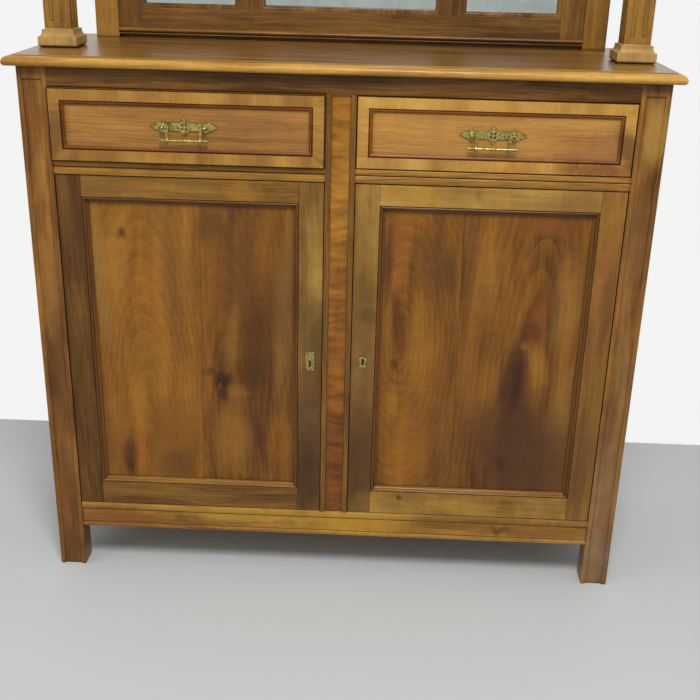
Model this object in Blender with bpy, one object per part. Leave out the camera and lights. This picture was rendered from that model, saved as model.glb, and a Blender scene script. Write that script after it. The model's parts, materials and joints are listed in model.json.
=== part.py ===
import math

import bmesh
import bpy
from mathutils import Matrix, Vector

# Lengths are in metres. X runs along the front, Y from the front to the back, Z up.
# The origin lies on the floor, in the middle of the outline seen from above.

# Carcass, from the floor up
BODY_WIDTH = 1.100
BODY_DEPTH = 0.380
FOOT_HEIGHT = 0.0893
BOTTOM_RAIL_HEIGHT = 0.0537
DOOR_OPENING_HEIGHT = 0.6566
MID_RAIL_HEIGHT = 0.0248
DRAWER_OPENING_HEIGHT = 0.1258
TOP_RAIL_HEIGHT = 0.0330

# Clearances that all pieces share
SEAT_GAP = 0.0003
CUT_OVERRUN = 0.004
WELD_DISTANCE = 0.000001

# Corner posts and centre stile
POST_WIDTH = 0.050
POST_DEPTH = 0.044
CENTRE_STILE_WIDTH = 0.052
POST_CHANNEL_WIDTH = 0.034
STILE_CHANNEL_WIDTH = 0.035
CHANNEL_DEPTH = 0.0030
CHANNEL_SHOULDER = 0.0018
CHANNEL_STOP = 0.0215
DOOR_STOP_WIDTH = 0.010
DOOR_STOP_THICKNESS = 0.012

# Rails between the posts
RAIL_DEPTH = 0.024
RAIL_SETBACK = 0.0010
RAIL_GROOVE = 0.0013
RAIL_GROOVE_DEPTH = 0.0022
BAND_BULGE = 0.0018
MID_LOWER_BAND = 0.0130
BOTTOM_LOWER_BAND = 0.0092
BOTTOM_UPPER_BAND = 0.0145

# Moulded boards: the top and the stage shelf
TOP_THICKNESS = 0.018
TOP_OVERHANG = 0.0185
TOP_FLAT_OVERHANG = 0.0030
TOP_LIP = 0.0013
TOP_STEP_WIDTH = 0.0016
TOP_NOSE_LOW = 0.0055
TOP_NOSE_HIGH = 0.0075
TOP_NOSE_ROUND = 0.0065

# Sides, back and boards inside
SIDE_THICKNESS = 0.020
SIDE_INSET = 0.004
SIDE_BORDER = 0.062
SIDE_FIELD_DROP = 0.0060
SIDE_MOULDING_WIDTH = 0.010
BACK_THICKNESS = 0.012
BACK_INSET = 0.006
BACK_JOINT_WIDTH = 0.004
BACK_JOINT_DEPTH = 0.0015
BOTTOM_BOARD_THICKNESS = 0.016
BOTTOM_BOARD_DROP = 0.0025
SHELF_THICKNESS = 0.016
SHELF_HEIGHT = 0.455
SHELF_FRONT = 0.075
HOUSING_DEPTH = 0.006

# Doors
DOOR_GAP = 0.0015
DOOR_SETBACK = 0.0020
DOOR_THICKNESS = 0.022
DOOR_STILE_FACE = 0.0435
DOOR_RAIL_FACE = 0.0370
DOOR_LOW_RAIL_FACE = 0.0470
MOULDING_WIDTH = 0.0105
BEAD_WIDTH = 0.0043
BEAD_RISE = 0.0012
QUIRK_WIDTH = 0.0010
QUIRK_DEPTH = 0.0012
MOULDING_DROP = 0.0062
PANEL_FACE_DEPTH = 0.0080
PANEL_THICKNESS = 0.0060
MITRE_GAP = 0.0002

# Pivot pins of the doors
PIVOT_FROM_EDGE = 0.012
PIVOT_FROM_FACE = 0.005
PIN_RADIUS = 0.0025
PIN_CLEARANCE = 0.0004
PIN_IN_RAIL = 0.010
PIN_IN_DOOR = 0.018
COLLAR_RADIUS = 0.0045

# Locks of the doors
LEFT_LOCK_HEIGHT = 0.4610
RIGHT_LOCK_HEIGHT = 0.4685
LOCK_FROM_EDGE = 0.0215
BOLT_LENGTH = 0.030
BOLT_HEIGHT = 0.022
BOLT_THICKNESS = 0.0045
BOLT_THROW = 0.008
KEYHOLE_RADIUS = 0.0027
KEYHOLE_DROP = 0.0102
KEYHOLE_FOOT = 0.0038
KEYHOLE_RIM = 0.0046
ESCUTCHEON_WIDTH = 0.0165
ESCUTCHEON_ABOVE = 0.0200
ESCUTCHEON_BELOW = 0.0170
ESCUTCHEON_THICKNESS = 0.0012
ESCUTCHEON_CORNER = 0.0014

# Drawers
DRAWER_GAP = 0.0008
DRAWER_TOP_GAP = 0.0012
DRAWER_SETBACK = 0.0010
DRAWER_LENGTH = 0.320
DRAWER_FRONT_THICKNESS = 0.022
DRAWER_SIDE_THICKNESS = 0.012
DRAWER_SIDE_SHORT = 0.006
DRAWER_BACK_SHORT = 0.012
DRAWER_BOTTOM_THICKNESS = 0.006
DRAWER_GROOVE_DEPTH = 0.004
DRAWER_GROOVE_HEIGHT = 0.008
DRAWER_BORDER = 0.0205
DRAWER_MOULDING_WIDTH = 0.0070
DRAWER_MOULDING_RISE = 0.0010
DRAWER_PANEL_DROP = 0.0046
DOVETAIL_LENGTH = 0.014
LEFT_DRAWER_DRAWN_OUT = 0.009

# Drawer runners
RUNNER_THICKNESS = 0.012
RUNNER_BED = 0.016
GUIDE_HEIGHT = 0.026

# Drawer pulls
PULL_FROM_DRAWER_FOOT = 0.0640
PULL_LEFT_OF_MIDDLE = 0.0040
PLATE_HALF_LENGTH = 0.0580
PLATE_THICKNESS = 0.0018
STRIP_HALF_HEIGHT = 0.0066
LOZENGE_HALF_HEIGHT = 0.0158
LOZENGE_HALF_WIDTH = 0.0088
ARROW_START = 0.0345
ARROW_HALF_HEIGHT = 0.0102
ARROW_NECK = 0.0020
PETAL_LENGTH = 0.0052
PETAL_WIDTH = 0.0030
PETAL_OFFSET = 0.0048
STUD_OFFSET = 0.0365
STUD_FOOT_RADIUS = 0.0046
STUD_FOOT_HEIGHT = 0.0012
STUD_NECK_RADIUS = 0.0024
STUD_BALL_RADIUS = 0.0036
PIVOT_STANDOFF = 0.0085
TRUNNION_RADIUS = 0.0011
TRUNNION_CLEARANCE = 0.0004
TRUNNION_PAST_STUD = 0.0026
ARM_OFFSET = 0.0285
ARM_WIDTH = 0.0050
ARM_THICKNESS = 0.0020
ARM_ABOVE_PIVOT = 0.0055
BAIL_DROP = 0.0220
BAR_HALF_LENGTH = 0.0418
BAR_RADIUS = 0.0023
BAR_BEAD_RADIUS = 0.0031
BAR_BEAD_WIDTH = 0.0026
BAR_BOSS_RADIUS = 0.0037
BAR_BOSS_WIDTH = 0.0064

# Stage on the top
STAGE_HEIGHT = 0.379
STAGE_POST_INSET = 0.0057
STAGE_POST_FRONT = 0.1110
STAGE_SHAFT_HALF = 0.0235
STAGE_PLINTH_HALF = 0.0345
STAGE_FOOT_HALF = 0.0300
STAGE_FILLET_HALF = 0.0282
STAGE_FOOT_ROUND = 0.0050
STAGE_PLINTH_HEIGHT = 0.0175
STAGE_SLOPE_HEIGHT = 0.0090
STAGE_FILLET_HEIGHT = 0.0030
STAGE_NECK_HEIGHT = 0.0025
FLUTE_WIDTH = 0.0078
FLUTE_DEPTH = 0.0028
FLUTE_OFFSET = 0.0100
FLUTE_STOP = 0.044
UPRIGHT_INSET = 0.0530
UPRIGHT_WIDTH = 0.0447
UPRIGHT_DEPTH = 0.042
UPRIGHT_FRONT = 0.3300
FRAME_SETBACK = 0.0020
FRAME_THICKNESS = 0.018
FRAME_SIGHT_LOW = 0.0565
FRAME_SIGHT_HIGH = 0.0480
FRAME_STILE_FACE = 0.0455
FRAME_MUNTIN_FACE = 0.0425
WIDE_SIGHT_HALF = 0.1735
FRAME_MOULDING_WIDTH = 0.0085
FRAME_MOULDING_DROP = 0.0070
FRAME_LIP_DEPTH = 0.0085
FRAME_REBATE = 0.0035
FRAME_FOOT_BAND = 0.0084
FRAME_FOOT_REACH = 0.0055
FRAME_FOOT_STRIP = 0.0032
FRAME_FOOT_STRIP_REACH = 0.0028
FRAME_FOOT_RECESS = 0.0058
GLASS_THICKNESS = 0.004
GLASS_BEVEL = 0.014
GLASS_BEVEL_RISE = 0.0008
BACKBOARD_THICKNESS = 0.006

# Counts
BACK_BOARDS = 5
CURVE_STEPS = 5
BAND_STEPS = 6
ROUND_STEPS = 16
PETAL_STEPS = 8
ARROW_TEETH = 3
BAR_RIBS = 3
DOVETAILS = 3

# Shares of the dovetails' pitch and length
DOVETAIL_WIDTH_SHARE = 0.72
DOVETAIL_SLOPE_SHARE = 1 / 6

# Heights and places that follow from the sizes above
front_y = (TOP_OVERHANG - BODY_DEPTH) / 2
back_y = front_y + BODY_DEPTH
door_low = FOOT_HEIGHT + BOTTOM_RAIL_HEIGHT
mid_low = door_low + DOOR_OPENING_HEIGHT
drawer_low = mid_low + MID_RAIL_HEIGHT
drawer_high = drawer_low + DRAWER_OPENING_HEIGHT
carcass_top = drawer_high + TOP_RAIL_HEIGHT
table_top = carcass_top + TOP_THICKNESS
stage_top = table_top + STAGE_HEIGHT
post_in = BODY_WIDTH / 2 - POST_WIDTH
stile_half = CENTRE_STILE_WIDTH / 2
side_in = BODY_WIDTH / 2 - SIDE_INSET - SIDE_THICKNESS
back_panel_front = back_y - BACK_INSET - BACK_THICKNESS
door_face = front_y + DOOR_SETBACK
shelf_low = SHELF_HEIGHT
lock_y = door_face + DOOR_THICKNESS / 2
stage_post_out = BODY_WIDTH / 2 - STAGE_POST_INSET
upright_out = BODY_WIDTH / 2 - UPRIGHT_INSET
frame_half = upright_out - UPRIGHT_WIDTH - SEAT_GAP

# Colour, roughness and metal share of each finish
FINISHES = {
    "walnut": ((0.215, 0.092, 0.026, 1.0), 0.38, 0.0),
    "striped_walnut": ((0.270, 0.100, 0.022, 1.0), 0.36, 0.0),
    "golden_walnut": ((0.290, 0.150, 0.040, 1.0), 0.36, 0.0),
    "inner_wood": ((0.300, 0.190, 0.095, 1.0), 0.60, 0.0),
    "brass": ((0.330, 0.290, 0.130, 1.0), 0.42, 1.0),
    "steel": ((0.350, 0.340, 0.320, 1.0), 0.45, 1.0),
    "mirror": ((0.850, 0.870, 0.860, 1.0), 0.03, 1.0),
}


def clear_scene():
    for item in list(bpy.data.objects):
        bpy.data.objects.remove(item, do_unlink=True)


def make_finish(name, kind):
    colour, roughness, metal = FINISHES[kind]
    finish = bpy.data.materials.new(name)
    finish.use_nodes = True
    shader = finish.node_tree.nodes["Principled BSDF"]
    shader.inputs["Base Color"].default_value = colour
    shader.inputs["Roughness"].default_value = roughness
    shader.inputs["Metallic"].default_value = metal
    return finish


def add_piece(name, bm, kind, carrier=None):
    bmesh.ops.recalc_face_normals(bm, faces=bm.faces)
    if carrier is not None:
        bmesh.ops.translate(bm, verts=bm.verts, vec=-carrier.location)
    mesh = bpy.data.meshes.new(name)
    bm.to_mesh(mesh)
    bm.free()
    mesh.shade_smooth()
    mesh.set_sharp_from_angle(angle=math.radians(40))
    mesh.materials.append(make_finish(name + "_finish", kind))
    piece = bpy.data.objects.new(name, mesh)
    piece.parent = carrier
    bpy.context.scene.collection.objects.link(piece)
    return piece


def add_carrier(name, place):
    carrier = bpy.data.objects.new(name, None)
    carrier.location = place
    bpy.context.scene.collection.objects.link(carrier)
    return carrier


def block(x_span, y_span, z_span):
    # A plain block between two places on each axis
    bm = bmesh.new()
    bmesh.ops.create_cube(bm, size=1)
    spans = (x_span, y_span, z_span)
    size = Vector([max(span) - min(span) for span in spans])
    middle = Vector([(max(span) + min(span)) / 2 for span in spans])
    bmesh.ops.scale(bm, vec=size, verts=bm.verts)
    bmesh.ops.translate(bm, vec=middle, verts=bm.verts)
    return bm


def prism(outline, axis, start, end):
    # An outline in the other two axes, drawn out along one axis
    bm = bmesh.new()
    order = {"X": (2, 0, 1), "Y": (0, 2, 1), "Z": (0, 1, 2)}[axis]
    corners = []
    for first, second in outline:
        values = (first, second, start)
        corners.append(bm.verts.new([values[order[0]], values[order[1]], values[order[2]]]))
    face = bm.faces.new(corners)
    drawn = bmesh.ops.extrude_face_region(bm, geom=[face])
    along = Vector([1.0 if axis == letter else 0.0 for letter in "XYZ"]) * (end - start)
    moved = [item for item in drawn["geom"] if isinstance(item, bmesh.types.BMVert)]
    bmesh.ops.translate(bm, vec=along, verts=moved)
    bmesh.ops.recalc_face_normals(bm, faces=bm.faces)
    return bm


def turned(profile, axis, centre, steps=ROUND_STEPS):
    # A turned piece: its profile is a list of radius and place along the axis
    bm = bmesh.new()
    along = Vector([1.0 if axis == letter else 0.0 for letter in "XYZ"])
    out = Vector((0.0, -1.0, 0.0)) if axis != "Y" else Vector((0.0, 0.0, 1.0))
    rim = [bm.verts.new(Vector(centre) + along * place + out * radius) for radius, place in profile]
    edges = [bm.edges.new(pair) for pair in zip(rim, rim[1:])]
    bmesh.ops.spin(bm, geom=rim + edges, cent=centre, axis=along, angle=math.tau, steps=steps,
                   use_merge=True)
    bmesh.ops.remove_doubles(bm, verts=bm.verts, dist=WELD_DISTANCE)
    bmesh.ops.recalc_face_normals(bm, faces=bm.faces)
    return bm


def stacked(corners_at, levels):
    # Rectangles stacked one over the other, from the lowest level to the highest
    bm = bmesh.new()
    low = [bm.verts.new((x, y, levels[0][1])) for x, y in corners_at(levels[0][0])]
    face = bm.faces.new(low)
    for offset, height in levels[1:]:
        face = bmesh.ops.extrude_discrete_faces(bm, faces=[face])["faces"][0]
        for corner, place in zip(face.verts, corners_at(offset)):
            corner.co = (place[0], place[1], height)
    bm.faces.new(low)
    bmesh.ops.recalc_face_normals(bm, faces=bm.faces)
    return bm


def combine(base, tools, operation="DIFFERENCE"):
    # The base with every tool cut away or joined on
    made = []
    for bm in [base] + tools:
        mesh = bpy.data.meshes.new("shape")
        bm.to_mesh(mesh)
        bm.free()
        item = bpy.data.objects.new("shape", mesh)
        bpy.context.scene.collection.objects.link(item)
        made.append(item)
    for tool in made[1:]:
        step = made[0].modifiers.new("step", "BOOLEAN")
        step.operation = operation
        step.object = tool
    evaluated = made[0].evaluated_get(bpy.context.evaluated_depsgraph_get())
    result = bmesh.new()
    result.from_mesh(evaluated.to_mesh())
    evaluated.to_mesh_clear()
    for item in made:
        bpy.data.objects.remove(item, do_unlink=True)
    bmesh.ops.remove_doubles(result, verts=result.verts, dist=WELD_DISTANCE)
    return result


def face_towards(bm, direction):
    # The largest face that looks in one direction
    direction = Vector(direction)
    bm.normal_update()
    matching = [face for face in bm.faces if face.normal.dot(direction) > 0.999]
    return max(matching, key=lambda face: face.calc_area())


def sink_field(bm, face, steps):
    # Steps of width and depth worked inwards from a face's edge
    for width, depth in steps:
        bmesh.ops.inset_region(bm, faces=[face], thickness=width, depth=depth,
                               use_even_offset=True)


def ovolo_steps(width, rise, drop):
    # A quirk and a rounded moulding that ends lower than it starts, as width and depth steps
    quirk = drop / CURVE_STEPS
    points = [(0.0, 0.0), (quirk / 4, -quirk), (quirk, -quirk)]
    for step in range(1, CURVE_STEPS + 1):
        turn = math.pi * step / CURVE_STEPS / 2
        across = quirk + (width - quirk) * math.sin(turn)
        points.append((across, rise - quirk - (rise + drop - quirk) * (1 - math.cos(turn))))
    return [(b[0] - a[0], b[1] - a[1]) for a, b in zip(points, points[1:])]


def banded_front(depth, bands):
    # Front line of a rail, foot to head: bands of height and bulge with a groove between two
    points = []
    height = 0.0
    for number, (band, bulge) in enumerate(bands):
        steps = BAND_STEPS if bulge else 1
        for step in range(steps + 1):
            turn = math.pi * step / steps
            points.append((depth - bulge * math.sin(turn), height + band * (1 - math.cos(turn)) / 2))
        height += band
        if number < len(bands) - 1:
            points.append((depth + RAIL_GROOVE_DEPTH, height + RAIL_GROOVE / 2))
            height += RAIL_GROOVE
    return points


def edge_levels(low):
    # The moulded edge of a board, as overhang and height, foot to head
    levels = []
    for step in range(CURVE_STEPS):
        turn = math.pi * step / CURVE_STEPS / 2
        levels.append((TOP_OVERHANG - TOP_NOSE_ROUND * (1 - math.sin(turn)),
                       low + TOP_NOSE_LOW * (1 - math.cos(turn))))
    levels.append((TOP_OVERHANG, low + TOP_NOSE_LOW))
    inner = TOP_FLAT_OVERHANG + TOP_STEP_WIDTH
    rise = TOP_THICKNESS - TOP_LIP - TOP_NOSE_HIGH
    for step in range(CURVE_STEPS + 1):
        turn = math.pi * step / CURVE_STEPS / 2
        levels.append((inner + (TOP_OVERHANG - inner) * math.cos(turn),
                       low + TOP_NOSE_HIGH + rise * math.sin(turn)))
    levels.append((TOP_FLAT_OVERHANG, low + TOP_THICKNESS - TOP_LIP))
    levels.append((TOP_FLAT_OVERHANG, low + TOP_THICKNESS))
    return levels


def moulded_board(half_width, front, low):
    # A board with the moulded edge on its front and its two sides
    def corners_at(offset):
        side = half_width + offset
        return ((-side, front - offset), (side, front - offset), (side, back_y), (-side, back_y))
    return stacked(corners_at, edge_levels(low))


def channel(x_middle, width, low, high):
    # A shallow channel with sloped shoulders, cut into the front of a post
    half = width / 2
    outline = [
        (x_middle - half - CHANNEL_SHOULDER * CUT_OVERRUN / CHANNEL_DEPTH, front_y - CUT_OVERRUN),
        (x_middle + half + CHANNEL_SHOULDER * CUT_OVERRUN / CHANNEL_DEPTH, front_y - CUT_OVERRUN),
        (x_middle + half - CHANNEL_SHOULDER, front_y + CHANNEL_DEPTH),
        (x_middle - half + CHANNEL_SHOULDER, front_y + CHANNEL_DEPTH),
    ]
    return prism(outline, "Z", low, high)


def add_posts():
    for side, side_name in ((-1, "left"), (1, "right")):
        x_span = (side * post_in, side * BODY_WIDTH / 2)
        z_span = (0.0, carcass_top - SEAT_GAP)
        front = block(x_span, (front_y, front_y + POST_DEPTH), z_span)
        cutter = channel(side * (BODY_WIDTH - POST_WIDTH) / 2, POST_CHANNEL_WIDTH,
                         -CUT_OVERRUN, carcass_top - CHANNEL_STOP)
        add_piece("post_front_" + side_name, combine(front, [cutter]), "walnut")
        rear = block(x_span, (back_y - POST_DEPTH, back_y), z_span)
        add_piece("post_back_" + side_name, rear, "walnut")


def lock_height(side):
    return LEFT_LOCK_HEIGHT if side < 0 else RIGHT_LOCK_HEIGHT


def lock_span(side, clearance=0.0):
    # Foot and head of a lock's bolt
    half = BOLT_HEIGHT / 2 + clearance
    return (lock_height(side) - half, lock_height(side) + half)


def add_centre_stile():
    low = door_low + SEAT_GAP
    high = drawer_high - SEAT_GAP
    body = block((-stile_half, stile_half), (front_y, front_y + POST_DEPTH), (low, high))
    stop_half = stile_half + DOOR_STOP_WIDTH
    stop_front = door_face + DOOR_THICKNESS + SEAT_GAP
    stop = block((-stop_half, stop_half), (stop_front, stop_front + DOOR_STOP_THICKNESS),
                 (low, mid_low - SEAT_GAP))
    body = combine(body, [stop], "UNION")
    cutters = [channel(0.0, STILE_CHANNEL_WIDTH, low - CUT_OVERRUN, drawer_high - DRAWER_TOP_GAP)]
    for side in (-1, 1):
        cutters.append(block(
            (side * (stile_half - BOLT_THROW - SEAT_GAP * 2), side * (stile_half + CUT_OVERRUN)),
            (lock_y - BOLT_THICKNESS / 2 - SEAT_GAP, lock_y + BOLT_THICKNESS / 2 + SEAT_GAP),
            lock_span(side, SEAT_GAP)))
    add_piece("centre_stile", combine(body, cutters), "striped_walnut")


def pin_hole(x, low, high):
    radius = PIN_RADIUS + PIN_CLEARANCE
    profile = [(0.0, low), (radius, low), (radius, high), (0.0, high)]
    return turned(profile, "Z", (x, door_face + PIVOT_FROM_FACE, 0.0))


def pivot_x(side):
    return side * (post_in - DOOR_GAP - PIVOT_FROM_EDGE)


def add_rails():
    face = front_y + RAIL_SETBACK
    long_half = post_in - SEAT_GAP
    top = block((-long_half, long_half), (front_y + SEAT_GAP, front_y + RAIL_DEPTH),
                (drawer_high, carcass_top - SEAT_GAP))
    add_piece("top_rail", top, "walnut")

    upper_band = MID_RAIL_HEIGHT - MID_LOWER_BAND - RAIL_GROOVE
    front_line = banded_front(face + BAND_BULGE, [(MID_LOWER_BAND, BAND_BULGE),
                                                  (upper_band, BAND_BULGE)])
    outline = [(y, mid_low + z) for y, z in front_line]
    outline += [(front_y + POST_DEPTH, drawer_low), (front_y + POST_DEPTH, mid_low)]
    for side, side_name in ((-1, "left"), (1, "right")):
        ends = sorted((side * (stile_half + SEAT_GAP), side * long_half))
        rail = prism(outline, "X", ends[0], ends[1])
        hole = pin_hole(pivot_x(side), mid_low - CUT_OVERRUN, mid_low + PIN_IN_RAIL + SEAT_GAP)
        add_piece("mid_rail_" + side_name, combine(rail, [hole]), "golden_walnut")

    middle_band = BOTTOM_RAIL_HEIGHT - BOTTOM_LOWER_BAND - BOTTOM_UPPER_BAND - RAIL_GROOVE * 2
    front_line = banded_front(face + BAND_BULGE, [(BOTTOM_LOWER_BAND, BAND_BULGE),
                                                  (middle_band, 0.0),
                                                  (BOTTOM_UPPER_BAND, BAND_BULGE)])
    outline = [(y, FOOT_HEIGHT + z) for y, z in front_line]
    outline += [(front_y + RAIL_DEPTH, door_low), (front_y + RAIL_DEPTH, FOOT_HEIGHT)]
    rail = prism(outline, "X", -long_half, long_half)
    holes = [pin_hole(pivot_x(side), door_low - PIN_IN_RAIL - SEAT_GAP, door_low + CUT_OVERRUN)
             for side in (-1, 1)]
    add_piece("bottom_rail", combine(rail, holes), "golden_walnut")


def add_sides():
    y_span = (front_y + POST_DEPTH + SEAT_GAP, back_y - POST_DEPTH - SEAT_GAP)
    for side, side_name in ((-1, "left"), (1, "right")):
        panel = block((side * side_in, side * (side_in + SIDE_THICKNESS)), y_span,
                      (FOOT_HEIGHT, carcass_top - SEAT_GAP))
        outer = face_towards(panel, (side, 0, 0))
        sink_field(panel, outer, [(SIDE_BORDER, 0.0)])
        sink_field(panel, outer, ovolo_steps(SIDE_MOULDING_WIDTH, 0.0, SIDE_FIELD_DROP))
        groove = block((side * (side_in - CUT_OVERRUN), side * (side_in + HOUSING_DEPTH)),
                       (y_span[0] - CUT_OVERRUN, y_span[1] + CUT_OVERRUN),
                       (shelf_low - SEAT_GAP, shelf_low + SHELF_THICKNESS + SEAT_GAP))
        add_piece("side_panel_" + side_name, combine(panel, [groove]), "walnut")


def add_back_panel():
    half = post_in - SEAT_GAP
    width = half * 2 / BACK_BOARDS
    joint = BACK_JOINT_WIDTH / 2
    rear = back_panel_front + BACK_THICKNESS
    near = [(-half, back_panel_front)]
    far = [(-half, rear)]
    for number in range(1, BACK_BOARDS):
        x = -half + width * number
        near += [(x - joint, back_panel_front), (x, back_panel_front + BACK_JOINT_DEPTH),
                 (x + joint, back_panel_front)]
        far += [(x - joint, rear), (x, rear - BACK_JOINT_DEPTH), (x + joint, rear)]
    near.append((half, back_panel_front))
    far.append((half, rear))
    panel = prism(near + far[::-1], "Z", FOOT_HEIGHT, carcass_top - SEAT_GAP)
    add_piece("back_panel", panel, "inner_wood")


def add_boards():
    wide = side_in - SEAT_GAP
    narrow = post_in - SEAT_GAP
    rail_back = front_y + RAIL_DEPTH + SEAT_GAP
    post_back = front_y + POST_DEPTH + SEAT_GAP
    rear_post = back_y - POST_DEPTH - SEAT_GAP
    far = back_panel_front - SEAT_GAP
    right = [(narrow, rail_back), (narrow, post_back), (wide, post_back), (wide, rear_post),
             (narrow, rear_post), (narrow, far)]
    outline = right + [(-x, y) for x, y in right[::-1]]
    high = door_low - BOTTOM_BOARD_DROP
    add_piece("bottom_board", prism(outline, "Z", high - BOTTOM_BOARD_THICKNESS, high), "inner_wood")

    housed = side_in + HOUSING_DEPTH - SEAT_GAP
    right = [(housed, front_y + SHELF_FRONT), (housed, rear_post), (narrow, rear_post), (narrow, far)]
    outline = right + [(-x, y) for x, y in right[::-1]]
    add_piece("inner_shelf", prism(outline, "Z", shelf_low, shelf_low + SHELF_THICKNESS),
              "inner_wood")


def add_runners():
    low = drawer_low - RUNNER_THICKNESS
    start = front_y + POST_DEPTH + SEAT_GAP
    guide_top = drawer_low + GUIDE_HEIGHT
    guide_x = post_in - SEAT_GAP
    outline = [(side_in - SEAT_GAP, low), (side_in - SEAT_GAP, guide_top), (guide_x, guide_top),
               (guide_x, drawer_low), (guide_x - RUNNER_BED, drawer_low), (guide_x - RUNNER_BED, low)]
    for side, side_name in ((-1, "left"), (1, "right")):
        placed = [(side * x, z) for x, z in outline]
        runner = prism(placed, "Y", start, back_y - POST_DEPTH - SEAT_GAP)
        add_piece("drawer_runner_" + side_name, runner, "inner_wood")
    guide = stile_half - SEAT_GAP
    right = [(guide + RUNNER_BED, low), (guide + RUNNER_BED, drawer_low), (guide, drawer_low),
             (guide, guide_top)]
    outline = right + [(-x, z) for x, z in right[::-1]]
    add_piece("drawer_runner_centre", prism(outline, "Y", start, back_panel_front - SEAT_GAP),
              "inner_wood")


def add_top_board():
    add_piece("top_board", moulded_board(BODY_WIDTH / 2, front_y, carcass_top), "golden_walnut")


def moulding_line():
    # Door moulding inwards from the frame's flat: how far in, and how deep behind the face
    points = [(QUIRK_WIDTH / 2, QUIRK_DEPTH), (QUIRK_WIDTH, QUIRK_DEPTH)]
    for step in range(1, BAND_STEPS):
        turn = math.pi * step / BAND_STEPS
        points.append((QUIRK_WIDTH + BEAD_WIDTH * (1 - math.cos(turn)) / 2,
                       QUIRK_DEPTH - (QUIRK_DEPTH + BEAD_RISE) * math.sin(turn)))
    start = QUIRK_WIDTH + BEAD_WIDTH
    points.append((start, QUIRK_DEPTH))
    for step in range(1, CURVE_STEPS + 1):
        turn = math.pi * step / CURVE_STEPS / 2
        points.append((start + (MOULDING_WIDTH - start) * (1 - math.cos(turn)),
                       QUIRK_DEPTH + (MOULDING_DROP - QUIRK_DEPTH) * math.sin(turn)))
    return points


def frame_member(length, width, moulded_from, moulded_to, place):
    # A stile or a rail of a door, drawn as length, width and depth, then put in its place.
    # The inner edge carries the moulding and a rear lip, both mitred, with the panel groove between.
    bm = bmesh.new()
    groove_back = PANEL_FACE_DEPTH + PANEL_THICKNESS + SEAT_GAP * 2
    section = [(0.0, 0.0), (width, 0.0), (width, PANEL_FACE_DEPTH), (width, groove_back),
               (width, DOOR_THICKNESS), (0.0, DOOR_THICKNESS)]
    low = [bm.verts.new((0.0, across, depth)) for across, depth in section]
    face = bm.faces.new(low)
    stations = [moulded_from, moulded_to, length]
    for station in [value for value in stations if value > 0]:
        if face.verts[0].co.x >= station:
            continue
        face = bmesh.ops.extrude_discrete_faces(bm, faces=[face])["faces"][0]
        for corner in face.verts:
            corner.co.x = station
    bm.faces.new(low)

    def inner_faces(nearer, farther):
        found = []
        for item in bm.faces:
            middle = item.calc_center_median()
            if (all(abs(corner.co.y - width) < WELD_DISTANCE for corner in item.verts)
                    and moulded_from < middle.x < moulded_to and nearer < middle.z < farther):
                found.append(item)
        return found

    lips = [(inner_faces(0.0, PANEL_FACE_DEPTH)[0], moulding_line(), PANEL_FACE_DEPTH),
            (inner_faces(groove_back, DOOR_THICKNESS)[0], [(MOULDING_WIDTH, groove_back)],
             DOOR_THICKNESS)]
    for lip, line, rear in lips:
        for inwards, depth in line:
            lip = bmesh.ops.extrude_discrete_faces(bm, faces=[lip])["faces"][0]
            middle = lip.calc_center_median()
            for corner in lip.verts:
                corner.co.y = width + inwards
                if corner.co.x < middle.x:
                    corner.co.x = moulded_from + inwards + MITRE_GAP
                else:
                    corner.co.x = moulded_to - inwards - MITRE_GAP
                corner.co.z = depth if corner.co.z < middle.z else rear
    bmesh.ops.transform(bm, matrix=place, verts=bm.verts)
    bmesh.ops.recalc_face_normals(bm, faces=bm.faces)
    return bm


def axes_matrix(along, across, origin):
    # Length and width directions in the door's plane; depth runs to the back
    columns = Matrix((along, across, (0, 1, 0))).transposed().to_4x4()
    return Matrix.Translation(origin) @ columns


def keyhole(x, z, grow=0.0):
    # Round head and flared slot of a keyhole, with its edge moved outwards by grow
    radius = KEYHOLE_RADIUS + grow
    foot = KEYHOLE_FOOT / 2 + grow
    points = []
    start = math.radians(-55)
    for step in range(ROUND_STEPS):
        turn = start + (math.pi - start * 2) * step / (ROUND_STEPS - 1)
        points.append((x + radius * math.cos(turn), z + radius * math.sin(turn)))
    points += [(x - foot, z - KEYHOLE_DROP - grow), (x + foot, z - KEYHOLE_DROP - grow)]
    return points


def add_pin(name, x, from_z, towards, carrier):
    # A turned pivot pin with a collar between the door's end and the rail
    collar = (SEAT_GAP, DOOR_GAP - SEAT_GAP)
    profile = [(0.0, -PIN_IN_RAIL), (PIN_RADIUS, -PIN_IN_RAIL), (PIN_RADIUS, collar[0]),
               (COLLAR_RADIUS, collar[0]), (COLLAR_RADIUS, collar[1]), (PIN_RADIUS, collar[1]),
               (PIN_RADIUS, DOOR_GAP + PIN_IN_DOOR), (0.0, DOOR_GAP + PIN_IN_DOOR)]
    placed = [(radius, towards * height) for radius, height in profile]
    pin = turned(placed, "Z", (x, door_face + PIVOT_FROM_FACE, from_z))
    add_piece(name, pin, "steel", carrier)


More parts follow.
